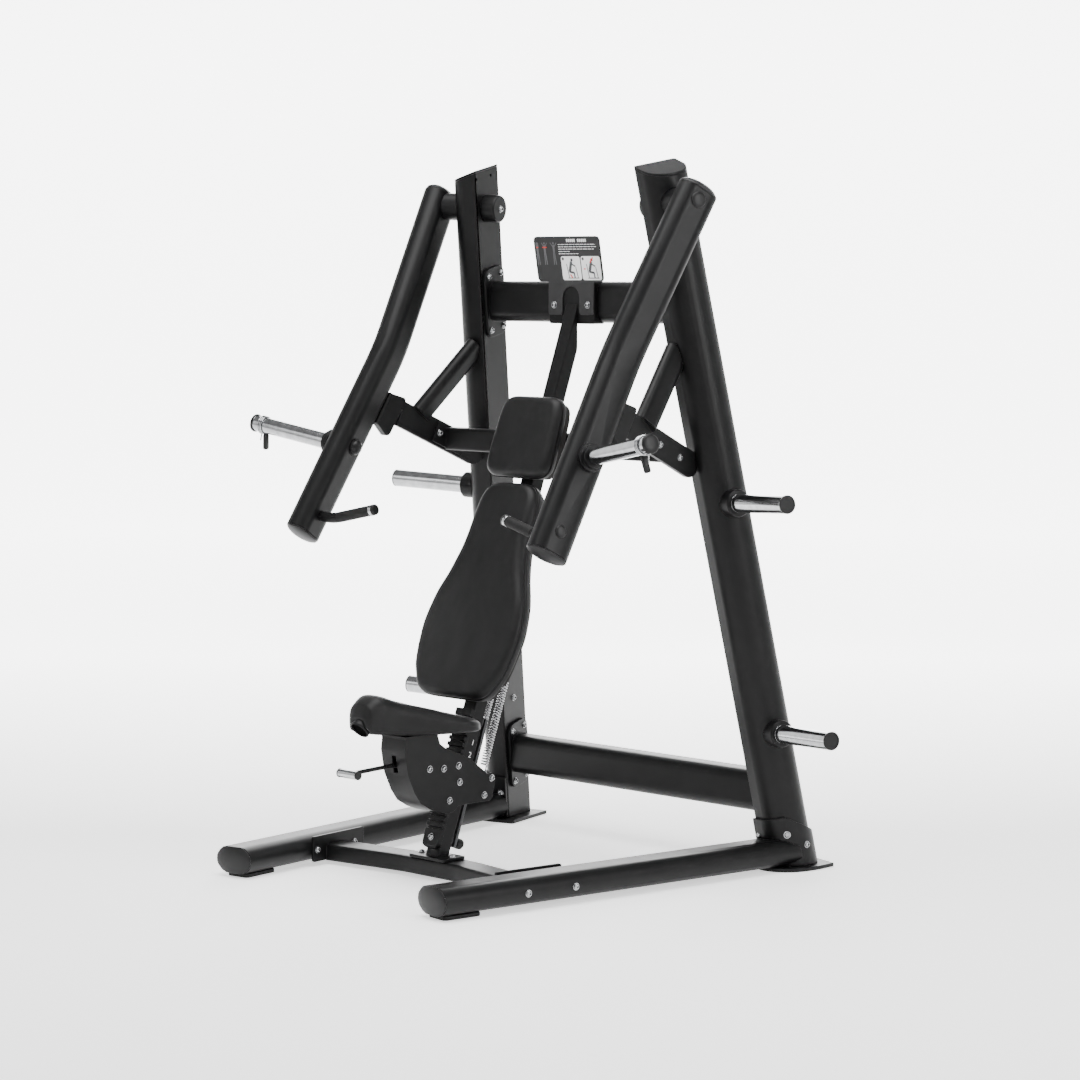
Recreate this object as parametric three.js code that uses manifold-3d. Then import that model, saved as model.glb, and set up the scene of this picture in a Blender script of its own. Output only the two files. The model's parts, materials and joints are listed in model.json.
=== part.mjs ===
// Plate-loaded chest press machine, in millimetres, +Z up.
// The sitter faces -Y. The side pieces are designed for +X and mirrored for -X.
import * as THREE from 'three';
import { mergeVertices } from 'three/addons/utils/BufferGeometryUtils.js';
import Module from 'manifold-3d';

const wasm = await Module();
wasm.setup();

// ---- driving dimensions ----------------------------------------------------------------------
const gap = 0.3; // clearance between pieces that touch
const wall = 4; // tube wall

const footHalfWidth = 481.2; // from the middle plane to an upright's inner front edge, at the floor
const sidePlane = { yaw: 16.2, inwardLean: 2.9 }; // how each upright's flat face is turned
const flatWidth = 127; // upright, across its flat inner face
const bulgeStart = 38; // the upright's side walls are straight up to here
const bulgeDepth = 90; // flat face to the outside of the bulge
const cornerRadius = 5;
const uprightLean = 10.8; // forward lean in its side plane
const uprightLength = 1861; // along its front inner edge
const topSlope = 21; // the top is cut sloping down outwards
const basePlateThickness = 10;
const sleeveThickness = 8;

const railWidth = 119;
const railHeight = 70;
const railToe = 8; // the rails open outwards to the rear
const railFront = { x: 377, y: -1095, z: 45.4 };
const frontTube = { depth: 80, height: 45, middleY: -727, z: 30.5, straightHalf: 100 };

const crossbarHeight = 109;
const crossbarDepth = 90;
const upperCrossbar = { y: -178, z: 1482 };
const lowerCrossbar = { y: 32, z: 195 };
const midCrossbar = { y: -302, z: 1107, height: 62, depth: 40 };

const armWidth = 112;
const armDepth = 70;
const armLean = 29.35; // from the upright direction, forward going down
const armFlare = 8.4; // outward turn of the lower arm
const armPivot = { r: -275, u: 1736, n: 160 };
const armBehindPivot = 4; // the arm's middle line passes just behind the pivot
const armAbovePivot = 31;
const armUpperLength = 446.3;
const armLowerLength = 560;
const pivotRadius = 37;
const shaftRadius = 19;

const pegRadius = 24;
const armPeg = { along: 296, reach: 303, radius: 21.5 };
const storagePegs = { upper: { r: -125, u: 963 }, lower: { r: -7, u: 358 } };
const storagePegReach = 345;
const handleStart = 502; // along the lower arm
const handleEnd = { r: -757, u: 942.5, n: 19.6 };
const gripRadius = 13.8;

const spineLean = 20;
const spineWidth = 45;
const spineDepth = 43;
const spineFoot = { y: -727.3, z: 126 }; // a point on its front face, where u = 0
const rackWidth = 58;
const rackDepth = 15;
const rackPitch = 16.5;
const guideBar = { offset: 11, thickness: 9.5, width: 36 };
const springOffset = 86; // spring axis behind the spine's front face
const springRadius = 10.5;
const springHalfSpacing = 20;

const carriageHalfWidth = 46;
const plateThickness = 5;

// ---- small tools -----------------------------------------------------------------------------
const rad = THREE.MathUtils.degToRad;
const vec = (x, y, z) => new THREE.Vector3(x, y, z);
const xAxis = vec(1, 0, 0);
const yAxis = vec(0, 1, 0);
const zAxis = vec(0, 0, 1);

function frame(origin, x, y) {
  const z = new THREE.Vector3().crossVectors(x, y);
  return new THREE.Matrix4().makeBasis(x, y, z).setPosition(origin);
}

// A solid from a closed geometry. Triangles that collapse to a line are dropped.
function solid(geometry, matrix) {
  const bare = geometry.clone();
  bare.deleteAttribute('normal');
  bare.deleteAttribute('uv');
  if (matrix) bare.applyMatrix4(matrix);
  const merged = mergeVertices(bare, 1e-3);
  const index = merged.index.array;
  const kept = [];
  for (let i = 0; i < index.length; i += 3) {
    const [a, b, c] = [index[i], index[i + 1], index[i + 2]];
    if (a !== b && b !== c && c !== a) kept.push(a, b, c);
  }
  const build = (triangles) => new wasm.Manifold(new wasm.Mesh({
    numProp: 3,
    vertProperties: Float32Array.from(merged.attributes.position.array),
    triVerts: Uint32Array.from(triangles),
  }));
  const body = build(kept);
  return body.volume() > 0 ? body : build(kept.reverse());
}

const join = (...parts) => parts.reduce((sum, part) => sum.add(part));

function cutBeyond(body, point, normal) {
  const size = 4000;
  const turn = new THREE.Quaternion().setFromUnitVectors(zAxis, normal.clone().normalize());
  const block = new THREE.BoxGeometry(size, size, size).translate(0, 0, size / 2);
  block.applyQuaternion(turn).translate(point.x, point.y, point.z);
  return body.subtract(solid(block));
}

function arc(cx, cy, rx, ry, from, to, steps) {
  return Array.from({ length: steps + 1 }, (_, i) => {
    const angle = rad(from + ((to - from) * i) / steps);
    return new THREE.Vector2(cx + rx * Math.cos(angle), cy + ry * Math.sin(angle));
  });
}

function oval(width, height, steps = 7) {
  const radius = height / 2;
  const x = (width - height) / 2;
  return [...arc(x, 0, radius, radius, -90, 90, steps), ...arc(-x, 0, radius, radius, 90, 270, steps)];
}

function roundedRect(width, height, radius, steps = 3) {
  const x = width / 2 - radius;
  const y = height / 2 - radius;
  return [
    ...arc(x, y, radius, radius, 0, 90, steps),
    ...arc(-x, y, radius, radius, 90, 180, steps),
    ...arc(-x, -y, radius, radius, 180, 270, steps),
    ...arc(x, -y, radius, radius, 270, 360, steps),
  ];
}

const circle = (radius, steps) => arc(0, 0, radius, radius, 0, 360, steps).slice(0, -1);

function outlineShape(outline, hole) {
  const shape = new THREE.Shape(outline);
  if (hole) shape.holes.push(new THREE.Path(hole));
  return shape;
}

function prism(outline, depth, matrix, hole) {
  const shape = outlineShape(outline, hole);
  return solid(new THREE.ExtrudeGeometry(shape, { depth, bevelEnabled: false }), matrix);
}

function box(width, depth, height, matrix) {
  return solid(new THREE.BoxGeometry(width, depth, height), matrix);
}

// One section carried through a row of frames, in each frame's XY plane.
function sweep(outline, stations, hole) {
  const steps = stations.length - 1;
  const shape = outlineShape(outline, hole);
  const geometry = new THREE.ExtrudeGeometry(shape, { depth: steps, steps, bevelEnabled: false });
  const position = geometry.attributes.position;
  const point = vec(0, 0, 0);
  for (let i = 0; i < position.count; i += 1) {
    point.fromBufferAttribute(position, i);
    const station = stations[Math.round(point.z)];
    point.setZ(0).applyMatrix4(station);
    position.setXYZ(i, point.x, point.y, point.z);
  }
  return solid(geometry);
}

// A round body: profile is [radius, distance] pairs along the direction from the point.
function turned(profile, point, direction, segments = 20) {
  const points = profile.map(([radius, distance]) => new THREE.Vector2(radius, distance));
  const geometry = new THREE.LatheGeometry(points, segments);
  const turn = new THREE.Quaternion().setFromUnitVectors(yAxis, direction.clone().normalize());
  return solid(geometry.applyQuaternion(turn).translate(point.x, point.y, point.z));
}

const rod = (radius, from, to, segments = 16) => {
  const direction = new THREE.Vector3().subVectors(to, from);
  const length = direction.length();
  return turned([[0, 0], [radius, 0], [radius, length], [0, length]], from, direction, segments);
};

// A convex cap over a flat-oval end, rising along Z from its XY plane.
function domeCap(width, height, rise, matrix) {
  const edge = 0.24; // height at the rim, as a share of the rise
  const a = 1.03 * (width / 2);
  const corner = (width - height) / 2 / a;
  const b = height / 2 / Math.sqrt(1 - edge * edge - corner * corner);
  const dome = solid(new THREE.SphereGeometry(1, 18, 8), new THREE.Matrix4().makeScale(a, b, rise));
  const block = prism(oval(width, height), rise + 1, new THREE.Matrix4());
  const cap = block.intersect(dome);
  return solid(geometryOf(cap), matrix);
}

function geometryOf(body) {
  const mesh = body.getMesh();
  const geometry = new THREE.BufferGeometry();
  geometry.setAttribute('position', new THREE.BufferAttribute(mesh.vertProperties, 3));
  geometry.setIndex(new THREE.BufferAttribute(mesh.triVerts, 1));
  geometry.computeVertexNormals();
  return geometry;
}

// ---- materials -------------------------------------------------------------------------------
const finish = (color, roughness, metalness) => (
  () => new THREE.MeshStandardMaterial({ color, roughness, metalness })
);
const framePaint = finish(0x202123, 0.42, 0.3);
const padCover = finish(0x141414, 0.55, 0);
const chrome = finish(0xc8cacc, 0.12, 1);
const rubber = finish(0x161616, 0.8, 0);
const plastic = finish(0x1b1b1c, 0.5, 0);
const zinc = finish(0xb9bcc0, 0.3, 1);
const board = finish(0x26231f, 0.7, 0);
const nylon = finish(0x2a2a2a, 0.6, 0);
const placardPrint = finish(0x1f2022, 0.45, 0);

const machine = new THREE.Group();
const rightSide = new THREE.Group();
const leftSide = new THREE.Group();
leftSide.scale.x = -1;
machine.add(rightSide, leftSide);

function addMesh(group, name, body, material) {
  const mesh = new THREE.Mesh(geometryOf(body), material());
  mesh.name = name;
  group.add(mesh);
}

// Right is the +X side, which is on the right of someone standing in front of the machine.
function addPair(name, body, material) {
  addMesh(rightSide, `${name}_right`, body, material);
  addMesh(leftSide, `${name}_left`, body, material);
}

// ---- the side frame: r rearward and u upward in the upright's flat face, n outward ------------
const yaw = rad(sidePlane.yaw);
const inward = rad(sidePlane.inwardLean);
const rAxis = vec(Math.sin(yaw), Math.cos(yaw), 0);
const nAxis = vec(
  Math.cos(yaw) * Math.cos(inward),
  -Math.sin(yaw) * Math.cos(inward),
  Math.sin(inward),
);
const uAxis = new THREE.Vector3().crossVectors(nAxis, rAxis);
const sideOrigin = vec(footHalfWidth, 0, 0);
const sideMatrix = frame(sideOrigin, rAxis, uAxis);

const sidePoint = (r, u, n) => vec(r, u, n).applyMatrix4(sideMatrix);
const sideDirection = (r, u, n) => vec(r, u, n).transformDirection(sideMatrix);
const sideFrame = (point, x, y) => frame(point, sideDirection(...x), sideDirection(...y));

// ---- uprights --------------------------------------------------------------------------------
const leanSin = Math.sin(rad(uprightLean));
const leanCos = Math.cos(rad(uprightLean));
const uprightAxis = sideDirection(-leanSin, leanCos, 0);
const acrossFlat = sideDirection(leanCos, leanSin, 0);

// A point on the flat face: w across it from the front edge, t up along it.
const flatPoint = (w, t, n = 0) => (
  sidePoint(w * leanCos - t * leanSin, t * leanCos + w * leanSin, n)
);

// The D section, X outward and Y rearward, grown by an offset.
function dOutline(offset) {
  const middle = flatWidth / 2;
  const radius = cornerRadius;
  const near = radius - offset;
  const far = flatWidth + offset - radius;
  return [
    ...arc(near, near, radius, radius, 180, 270, 2),
    ...arc(bulgeStart, middle, bulgeDepth - bulgeStart + offset, middle + offset, -90, 90, 16),
    ...arc(near, far, radius, radius, 90, 180, 2),
  ];
}

function dPrism(offset, from, to, hole) {
  const matrix = frame(flatPoint(0, from), nAxis, acrossFlat);
  return prism(dOutline(offset), to - from, matrix, hole);
}

const topNormal = uprightAxis.clone().multiplyScalar(Math.cos(rad(topSlope)))
  .addScaledVector(nAxis, Math.sin(rad(topSlope)));
const topEdge = flatPoint(0, uprightLength);
const capThickness = 6;
const plateTop = basePlateThickness + gap;

function makeUpright() {
  let tube = dPrism(0, -60, uprightLength + 20, dOutline(-wall));
  tube = cutBeyond(tube, topEdge, topNormal);
  tube = cutBeyond(tube, vec(0, 0, plateTop), vec(0, 0, -1));
  const pivot = sidePoint(armPivot.r, armPivot.u, -10);
  tube = tube.subtract(rod(pivotRadius + gap, pivot, sidePoint(armPivot.r, armPivot.u, 110), 24));
  for (const [r, u] of [[-338, 1812], [-262, 1826]]) {
    tube = tube.subtract(rod(4.5, sidePoint(r, u, -10), sidePoint(r, u, 10), 8));
  }
  return tube;
}

function makeUprightCap() {
  const block = dPrism(0, uprightLength - 80, uprightLength + 60);
  const low = topEdge.clone().addScaledVector(topNormal, gap);
  const high = topEdge.clone().addScaledVector(topNormal, gap + capThickness);
  return cutBeyond(cutBeyond(block, high, topNormal), low, topNormal.clone().negate());
}

// A curved band hugging the front and outside of the upright's foot.
function makeFootSleeve() {
  const inner = gap;
  const outer = gap + sleeveThickness;
  const band = (offset) => arc(
    bulgeStart,
    flatWidth / 2,
    bulgeDepth - bulgeStart + offset,
    flatWidth / 2 + offset,
    -90,
    90,
    16,
  );
  const outline = [
    new THREE.Vector2(2, -outer),
    ...band(outer),
    ...band(inner).reverse(),
    new THREE.Vector2(2, -inner),
  ];
  const height = 132;
  let sleeve = prism(outline, height + 60, frame(flatPoint(0, -60), nAxis, acrossFlat));
  sleeve = cutBeyond(sleeve, vec(0, 0, plateTop), vec(0, 0, -1));
  const slope = sideDirection(0.55, 1, 0);
  return cutBeyond(sleeve, flatPoint(62, height - 18), slope.add(uprightAxis.clone().multiplyScalar(0.2)));
}

function makeBasePlate() {
  const shape = new THREE.Shape();
  shape.moveTo(-30, -35);
  shape.lineTo(158, -35);
  shape.lineTo(158, 96);
  shape.bezierCurveTo(125, 110, 80, 124, 45, 124);
  shape.bezierCurveTo(0, 124, -42, 92, -42, 45);
  shape.lineTo(-42, -23);
  shape.quadraticCurveTo(-42, -35, -30, -35);
  const outline = shape.getPoints(8).slice(0, -1);
  const forward = vec(rAxis.x, rAxis.y, 0);
  const outward = vec(Math.cos(yaw), -Math.sin(yaw), 0);
  // X rearward and Y outward make Z point down, so the plate is hung from its top face.
  const top = vec(footHalfWidth, 0, basePlateThickness);
  const hung = new THREE.Matrix4().makeBasis(forward, outward, vec(0, 0, -1)).setPosition(top);
  return prism(outline, basePlateThickness, hung);
}

// ---- rails -----------------------------------------------------------------------------------
const railDirection = vec(Math.sin(rad(railToe)), Math.cos(rad(railToe)), 0);
const railInward = vec(-railDirection.y, railDirection.x, 0);
const railStart = vec(railFront.x, railFront.y, railFront.z);
const railPoint = (along, across, up) => railStart.clone()
  .addScaledVector(railDirection, along)
  .addScaledVector(railInward, across)
  .addScaledVector(zAxis, up);

function makeRail() {
  const length = 1200;
  const section = oval(railWidth, railHeight);
  const bore = oval(railWidth - 2 * wall, railHeight - 2 * wall);
  const matrix = frame(railStart, railInward, zAxis);
  let rail = prism(section, length, matrix, bore);
  const clear = sleeveThickness + 2 * gap;
  rail = rail.subtract(dPrism(clear, -120, 300));
  const behindFront = box(160, 400, 400, frame(
    flatPoint(200 - clear, 60, -80 + bulgeStart),
    nAxis,
    acrossFlat,
  ));
  const behindMiddle = box(300, 400, 400, frame(flatPoint(200 + 62, 60, 60), nAxis, acrossFlat));
  rail = rail.subtract(behindFront).subtract(behindMiddle);
  return rail;
}

function makeRailCap() {
  const outward = railInward.clone().negate();
  const matrix = new THREE.Matrix4()
    .makeBasis(outward, zAxis, railDirection.clone().negate())
    .setPosition(railPoint(-gap, 0, 0));
  return domeCap(railWidth, railHeight, 10, matrix);
}

function makeFrontFoot() {
  const centre = railPoint(66, 0, 0).setZ(0);
  return prism(roundedRect(72, 112, 12), 10, frame(centre, railInward.clone().negate(), railDirection));
}

addPair('base_rail', makeRail(), framePaint);
addPair('rail_end_cap', makeRailCap(), plastic);
addPair('front_foot', makeFrontFoot(), rubber);
addPair('base_plate', makeBasePlate(), framePaint);
addPair('foot_sleeve', makeFootSleeve(), framePaint);
addPair('upright', makeUpright(), framePaint);
addPair('upright_cap', makeUprightCap(), framePaint);

// ---- arm pivots and storage pegs -------------------------------------------------------------
const boreRadius = shaftRadius + 1;
const housingInner = -42;
const armInnerFace = armPivot.n - armDepth / 2;

function makePivotHousing() {
  const end = armInnerFace - 0.5 - housingInner;
  const profile = [
    [0, 0], [pivotRadius - 3, 0], [pivotRadius, 3], [pivotRadius, end],
    [boreRadius, end], [boreRadius, 8], [0, 8],
  ];
  return turned(profile, sidePoint(armPivot.r, armPivot.u, housingInner), nAxis, 24);
}
addPair('pivot_housing', makePivotHousing(), framePaint);

const collarRadius = 36;
const collarLength = 28;

function makeStoragePeg(place) {
  const start = sidePoint(place.r, place.u, 60);
  const end = storagePegReach - 60;
  const profile = [
    [0, 0], [collarRadius, 0], [collarRadius, bulgeDepth - 60 + collarLength - 3],
    [collarRadius - 3, bulgeDepth - 60 + collarLength], [pegRadius, bulgeDepth - 60 + collarLength],
    [pegRadius, end - 2], [pegRadius - 2, end], [0, end],
  ];
  const peg = turned(profile, start, nAxis);
  return peg.subtract(dPrism(gap, 0, uprightLength));
}
addPair('storage_peg_upper', makeStoragePeg(storagePegs.upper), chrome);
addPair('storage_peg_lower', makeStoragePeg(storagePegs.lower), chrome);

// ---- crossbars between the uprights -----------------------------------------------------------
const flangeThickness = 9;
const mirrored = new THREE.Matrix4().makeScale(-1, 1, 1);
const reflect = (body) => solid(geometryOf(body), mirrored);

// How far up the flat face its middle line passes a given height.
const flatHeight = (z) => (z / uAxis.z - (flatWidth / 2) * leanSin) / leanCos;

function makeCrossbar(place, boltHalfLength) {
  const across = 1200;
  const toX = new THREE.Matrix4().makeBasis(yAxis, zAxis, xAxis)
    .setPosition(vec(-across / 2, place.y, place.z));
  const outer = prism(roundedRect(crossbarDepth, crossbarHeight, 28, 4), across, toX);
  const bore = prism(
    roundedRect(crossbarDepth - 2 * wall, crossbarHeight - 2 * wall, 24, 3),
    across,
    toX,
  );
  const centre = flatPoint(flatWidth / 2, flatHeight(place.z), -gap - flangeThickness);
  const flange = prism(
    roundedRect(100, boltHalfLength * 2 + 42, 25, 4),
    flangeThickness,
    frame(centre, acrossFlat, uprightAxis),
  );
  const flatClear = sidePoint(0, 0, -gap);
  const flatClearLeft = flatClear.clone().applyMatrix4(mirrored);
  const leftNormal = nAxis.clone().applyMatrix4(mirrored);
  let bar = cutBeyond(outer, flatClear, nAxis);
  bar = cutBeyond(bar, flatClearLeft, leftNormal);
  return join(bar, flange, reflect(flange)).subtract(bore);
}

const upperCrossbarBody = makeCrossbar(upperCrossbar, 74);
addMesh(machine, 'upper_crossbar', upperCrossbarBody, framePaint);
addMesh(machine, 'lower_crossbar', makeCrossbar(lowerCrossbar, 74), framePaint);

// ---- arm geometry, shared by the stops and the arms --------------------------------------------
const armSin = Math.sin(rad(armLean));
const armCos = Math.cos(rad(armLean));
const flareSin = Math.sin(rad(armFlare));
const flareCos = Math.cos(rad(armFlare));
const armDown = sideDirection(-armSin, -armCos, 0);
const armBack = sideDirection(armCos, -armSin, 0);
const lowerDown = armDown.clone().multiplyScalar(flareCos).addScaledVector(nAxis, flareSin);
const lowerOut = nAxis.clone().multiplyScalar(flareCos).addScaledVector(armDown, -flareSin);
const pivotPoint = sidePoint(armPivot.r, armPivot.u, armPivot.n).addScaledVector(armBack, armBehindPivot);
const armBend = pivotPoint.clone().addScaledVector(armDown, armUpperLength);

// A point by the lower arm: along it from the bend, out from its axis, and back from its axis.
const armPoint = (along, out, back) => armBend.clone()
  .addScaledVector(lowerDown, along)
  .addScaledVector(lowerOut, out)
  .addScaledVector(armBack, back);

// ---- stop brackets and mid crossbar ------------------------------------------------------------
const beamRear = sidePoint(-229, 1067, 40);
const beamFront = sidePoint(-465, 1175, 136);
const beamHeight = 70;
const beamThickness = 14;
const beamDirection = new THREE.Vector3().subVectors(beamFront, beamRear).normalize();
const beamInner = new THREE.Vector3().crossVectors(beamDirection, zAxis).normalize();
const beamUp = new THREE.Vector3().crossVectors(beamInner, beamDirection);
const strutEnds = [[-250, 1359, 31], [-398, 1172, 112]];
const strutSection = { width: 66, depth: 40 };

// The stop bears on the arm's rounded rear edge, a little from its inner side.
const stopTurn = rad(19.7);
const stopBack = armBack.clone().multiplyScalar(Math.cos(stopTurn))
  .addScaledVector(lowerOut, -Math.sin(stopTurn));
const stopInward = new THREE.Vector3().crossVectors(stopBack, lowerDown);
const stopAlong = 146; // along the lower arm, to the middle of the stop
const stopLength = 100;
const stopOffset = 6;
const stopThickness = 24;
const stopDepth = 50;
const bumperThickness = 7;
const bumperStart = armDepth / 2 + gap;
const blockStart = bumperStart + bumperThickness + gap;
const stopOrigin = armPoint(stopAlong, 0, (armWidth - armDepth) / 2);

// A plate in the stop's plane, outlined back from the arm's edge and down along the arm.
function stopPlate(outline) {
  const start = stopOrigin.clone().addScaledVector(stopInward, stopOffset - stopThickness / 2);
  return prism(outline, stopThickness, frame(start, stopBack, lowerDown));
}

function makeStopBracket() {
  const length = beamRear.distanceTo(beamFront);
  const noseRadius = beamHeight / 2;
  const outline = [
    new THREE.Vector2(length, -noseRadius),
    new THREE.Vector2(length, noseRadius),
    ...arc(0, 0, noseRadius, noseRadius, 90, 270, 8),
  ];
  const start = beamRear.clone().addScaledVector(beamInner, -beamThickness / 2);
  const beam = prism(outline, beamThickness, frame(start, beamDirection, beamUp));
  const [strutTop, strutEnd] = strutEnds.map((place) => sidePoint(...place));
  const along = new THREE.Vector3().subVectors(strutEnd, strutTop);
  const across = new THREE.Vector3().crossVectors(along, nAxis).normalize();
  const strut = prism(
    oval(strutSection.width, strutSection.depth, 6),
    along.length(),
    frame(strutTop, across, new THREE.Vector3().crossVectors(along, across).normalize()),
  );
  const half = stopLength / 2;
  const rear = blockStart + stopDepth;
  const block = stopPlate([
    new THREE.Vector2(blockStart, half - 3),
    new THREE.Vector2(blockStart, 3 - half),
    ...arc(rear - 8, -half, 8, 8, -90, 0, 2),
    ...arc(rear - 12, half - 2, 12, 12, 0, 90, 3),
  ]);
  const beamEnd = stopOrigin.clone().addScaledVector(stopBack, blockStart + 2);
  const clearOfArm = cutBeyond(join(beam, strut), beamEnd, stopBack.clone().negate());
  return join(clearOfArm, block).subtract(dPrism(gap, 0, uprightLength));
}

function makeBumper() {
  const half = stopLength / 2 - 3;
  const outline = roundedRect(bumperThickness, 2 * half, 1, 1);
  return stopPlate(outline.map(({ x, y }) => new THREE.Vector2(x + bumperStart + bumperThickness / 2, y)));
}

addPair('stop_bracket', makeStopBracket(), framePaint);
addPair('bumper', makeBumper(), rubber);

// ---- front cross tube ----------------------------------------------------------------------------
const railInnerFace = (along) => railPoint(along, railWidth / 2 + gap, 0);
const plateMiddle = 336; // along the rail, to the middle of the tube's end plates

function makeFrontTube() {
  const { depth, height, middleY, z, straightHalf } = frontTube;
  const stationAt = (x, y, heading) => frame(
    vec(x, y, z),
    vec(Math.sin(rad(heading)), Math.cos(rad(heading)), 0),
    zAxis,
  );
  const endX = 372;
  const half = [[0, 0], [0.5, 0.5], [1, 1]];
  const bend = 40;
  const turn = Math.tan(rad(railToe));
  const right = half.map(([share, part]) => stationAt(
    straightHalf - bend / 2 + share * bend,
    middleY - turn * share * share * (bend / 2),
    railToe * part,
  ));
  const endY = middleY - turn * (endX - straightHalf);
  const left = half.map(([share, part]) => stationAt(
    -(straightHalf - bend / 2 + share * bend),
    middleY - turn * share * share * (bend / 2),
    -railToe * part,
  )).reverse();
  const path = [stationAt(-endX, endY, -railToe), ...left, ...right, stationAt(endX, endY, railToe)];
  const inner = [depth - 2 * wall, height - 2 * wall];
  const body = sweep(roundedRect(depth, height, 8, 2), path);
  const bore = sweep(roundedRect(...inner, 4, 1), path);
  const plateOrigin = railInnerFace(plateMiddle);
  const facing = railDirection.clone();
  const plate = prism(
    roundedRect(204, 68, 6),
    8,
    new THREE.Matrix4().makeBasis(facing, zAxis, railInward.clone().negate())
      .setPosition(plateOrigin.clone().addScaledVector(railInward, 8)),
  );
  const outside = railInward.clone().negate();
  let tube = cutBeyond(body, plateOrigin, outside);
  tube = cutBeyond(tube, plateOrigin.clone().applyMatrix4(mirrored), outside.clone().setX(-outside.x));
  return join(tube, plate, reflect(plate)).subtract(bore);
}
addMesh(machine, 'front_cross_tube', makeFrontTube(), framePaint);

// ---- spine: x across, u up along its front face, o forward from it -----------------------------
const spineUp = vec(0, Math.sin(rad(spineLean)), Math.cos(rad(spineLean)));
const spineForward = vec(0, -Math.cos(rad(spineLean)), Math.sin(rad(spineLean)));
const spineOrigin = vec(0, spineFoot.y, spineFoot.z);
const spinePoint = (x, u, o) => spineOrigin.clone()
  .addScaledVector(xAxis, x)
  .addScaledVector(spineUp, u)
  .addScaledVector(spineForward, o);
const spineFrame = (x, u, o) => frame(spinePoint(x, u, o), xAxis, spineUp);

// A block in the spine frame, given by its limits.
function spineBlock([x0, x1], [u0, u1], [o0, o1], radius = 0) {
  const outline = radius
    ? roundedRect(x1 - x0, u1 - u0, radius)
    : roundedRect(x1 - x0, u1 - u0, 0.01, 1);
  return prism(outline, o1 - o0, spineFrame((x0 + x1) / 2, (u0 + u1) / 2, o0));
}

// A plate outlined in (u, o) and spread along X.
function spineProfile(points, x0, x1) {
  const outline = points.map(([u, o]) => new THREE.Vector2(u, o));
  return prism(outline, x1 - x0, frame(spinePoint(x0, 0, 0), spineUp, spineForward));
}

const crossbarFront = upperCrossbar.y - crossbarDepth / 2;
const saddleFront = crossbarFront - 12;
const saddleHalfWidth = 84;
const footPlateTop = 61.3;
const springTopU = 440;

function makeSpine() {
  const start = spineFrame(0, -120, -spineDepth / 2);
  const section = roundedRect(spineWidth, spineDepth, 4, 2);
  const bore = roundedRect(spineWidth - 6, spineDepth - 6, 2, 2);
  const along = start.clone().multiply(new THREE.Matrix4().makeRotationX(-Math.PI / 2));
  let tube = prism(section, 1700, along, bore);
  tube = cutBeyond(tube, vec(0, 0, 1491), zAxis);
  tube = cutBeyond(tube, vec(0, saddleFront - gap, 0), yAxis);
  tube = cutBeyond(tube, vec(0, 0, footPlateTop - 1), vec(0, 0, -1));
  const plate = prism(
    roundedRect(136, 78, 8),
    8,
    new THREE.Matrix4().makeTranslation(0, -729, footPlateTop - 8),
  );
  const postDepth = springOffset + 8;
  const post = spineBlock([-5, 5], [springTopU - 14, springTopU + 14], [-postDepth, -spineDepth + 1]);
  const pin = rod(4, spinePoint(-32, springTopU, -springOffset), spinePoint(32, springTopU, -springOffset), 12);
  return join(tube, plate, post, pin);
}
addMesh(machine, 'spine', makeSpine(), framePaint);

// ---- mid crossbar, bolted to the inner faces of the stop brackets ---------------------------------
const beamInnerPoint = beamRear.clone().addScaledVector(beamInner, beamThickness / 2 + gap);
const midPlateThickness = 8;

function makeMidCrossbar() {
  const across = 1000;
  const toX = new THREE.Matrix4().makeBasis(yAxis, zAxis, xAxis)
    .setPosition(vec(-across / 2, midCrossbar.y, midCrossbar.z));
  const { depth, height } = midCrossbar;
  const outside = beamInner.clone().negate();
  let bar = prism(roundedRect(depth, height, 8), across, toX);
  bar = cutBeyond(bar, beamInnerPoint, outside);
  bar = cutBeyond(bar, beamInnerPoint.clone().applyMatrix4(mirrored), outside.clone().setX(-outside.x));
  const bore = prism(roundedRect(depth - 2 * wall, height - 2 * wall, 4, 1), across, toX);
  const along = (midCrossbar.z - beamInnerPoint.z) / beamDirection.z;
  const centre = beamInnerPoint.clone().addScaledVector(beamDirection, along);
  const facing = new THREE.Vector3().crossVectors(beamUp, beamInner);
  const plate = prism(roundedRect(112, height - 4, 6), midPlateThickness, frame(centre, facing, beamUp));
  const half = spineWidth / 2 + gap;
  const spineRoom = spineBlock([-half, half], [900, 1300], [-spineDepth - gap, 0]);
  return join(bar, plate, reflect(plate)).subtract(bore).subtract(spineRoom);
}
addMesh(machine, 'mid_crossbar', makeMidCrossbar(), framePaint);

function makeSaddle() {
  const low = upperCrossbar.z - crossbarHeight / 2 - 3;
  const high = upperCrossbar.z + crossbarHeight / 2;
  const depth = 46;
  const block = prism(
    roundedRect(2 * saddleHalfWidth, high - low, 6),
    depth,
    new THREE.Matrix4().makeBasis(xAxis, zAxis, vec(0, -1, 0))
      .setPosition(vec(0, saddleFront + depth, (low + high) / 2)),
  );
  const clearance = prism(
    roundedRect(crossbarDepth + 2 * gap, crossbarHeight + 2 * gap, 28, 4),
    4 * saddleHalfWidth,
    new THREE.Matrix4().makeBasis(yAxis, zAxis, xAxis)
      .setPosition(vec(-2 * saddleHalfWidth, upperCrossbar.y, upperCrossbar.z)),
  );
  const cut = block.subtract(clearance);
  return cutBeyond(cut, vec(0, crossbarFront + 26, 0), yAxis);
}
addMesh(machine, 'spine_saddle', makeSaddle(), framePaint);

// ---- instruction placard ---------------------------------------------------------------------
const placard = { width: 244, height: 122, thickness: 3, lean: 10, bendZ: 1536 };
const placardLeg = { outer: 84, inner: 31, bottomZ: 1448 };

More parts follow.
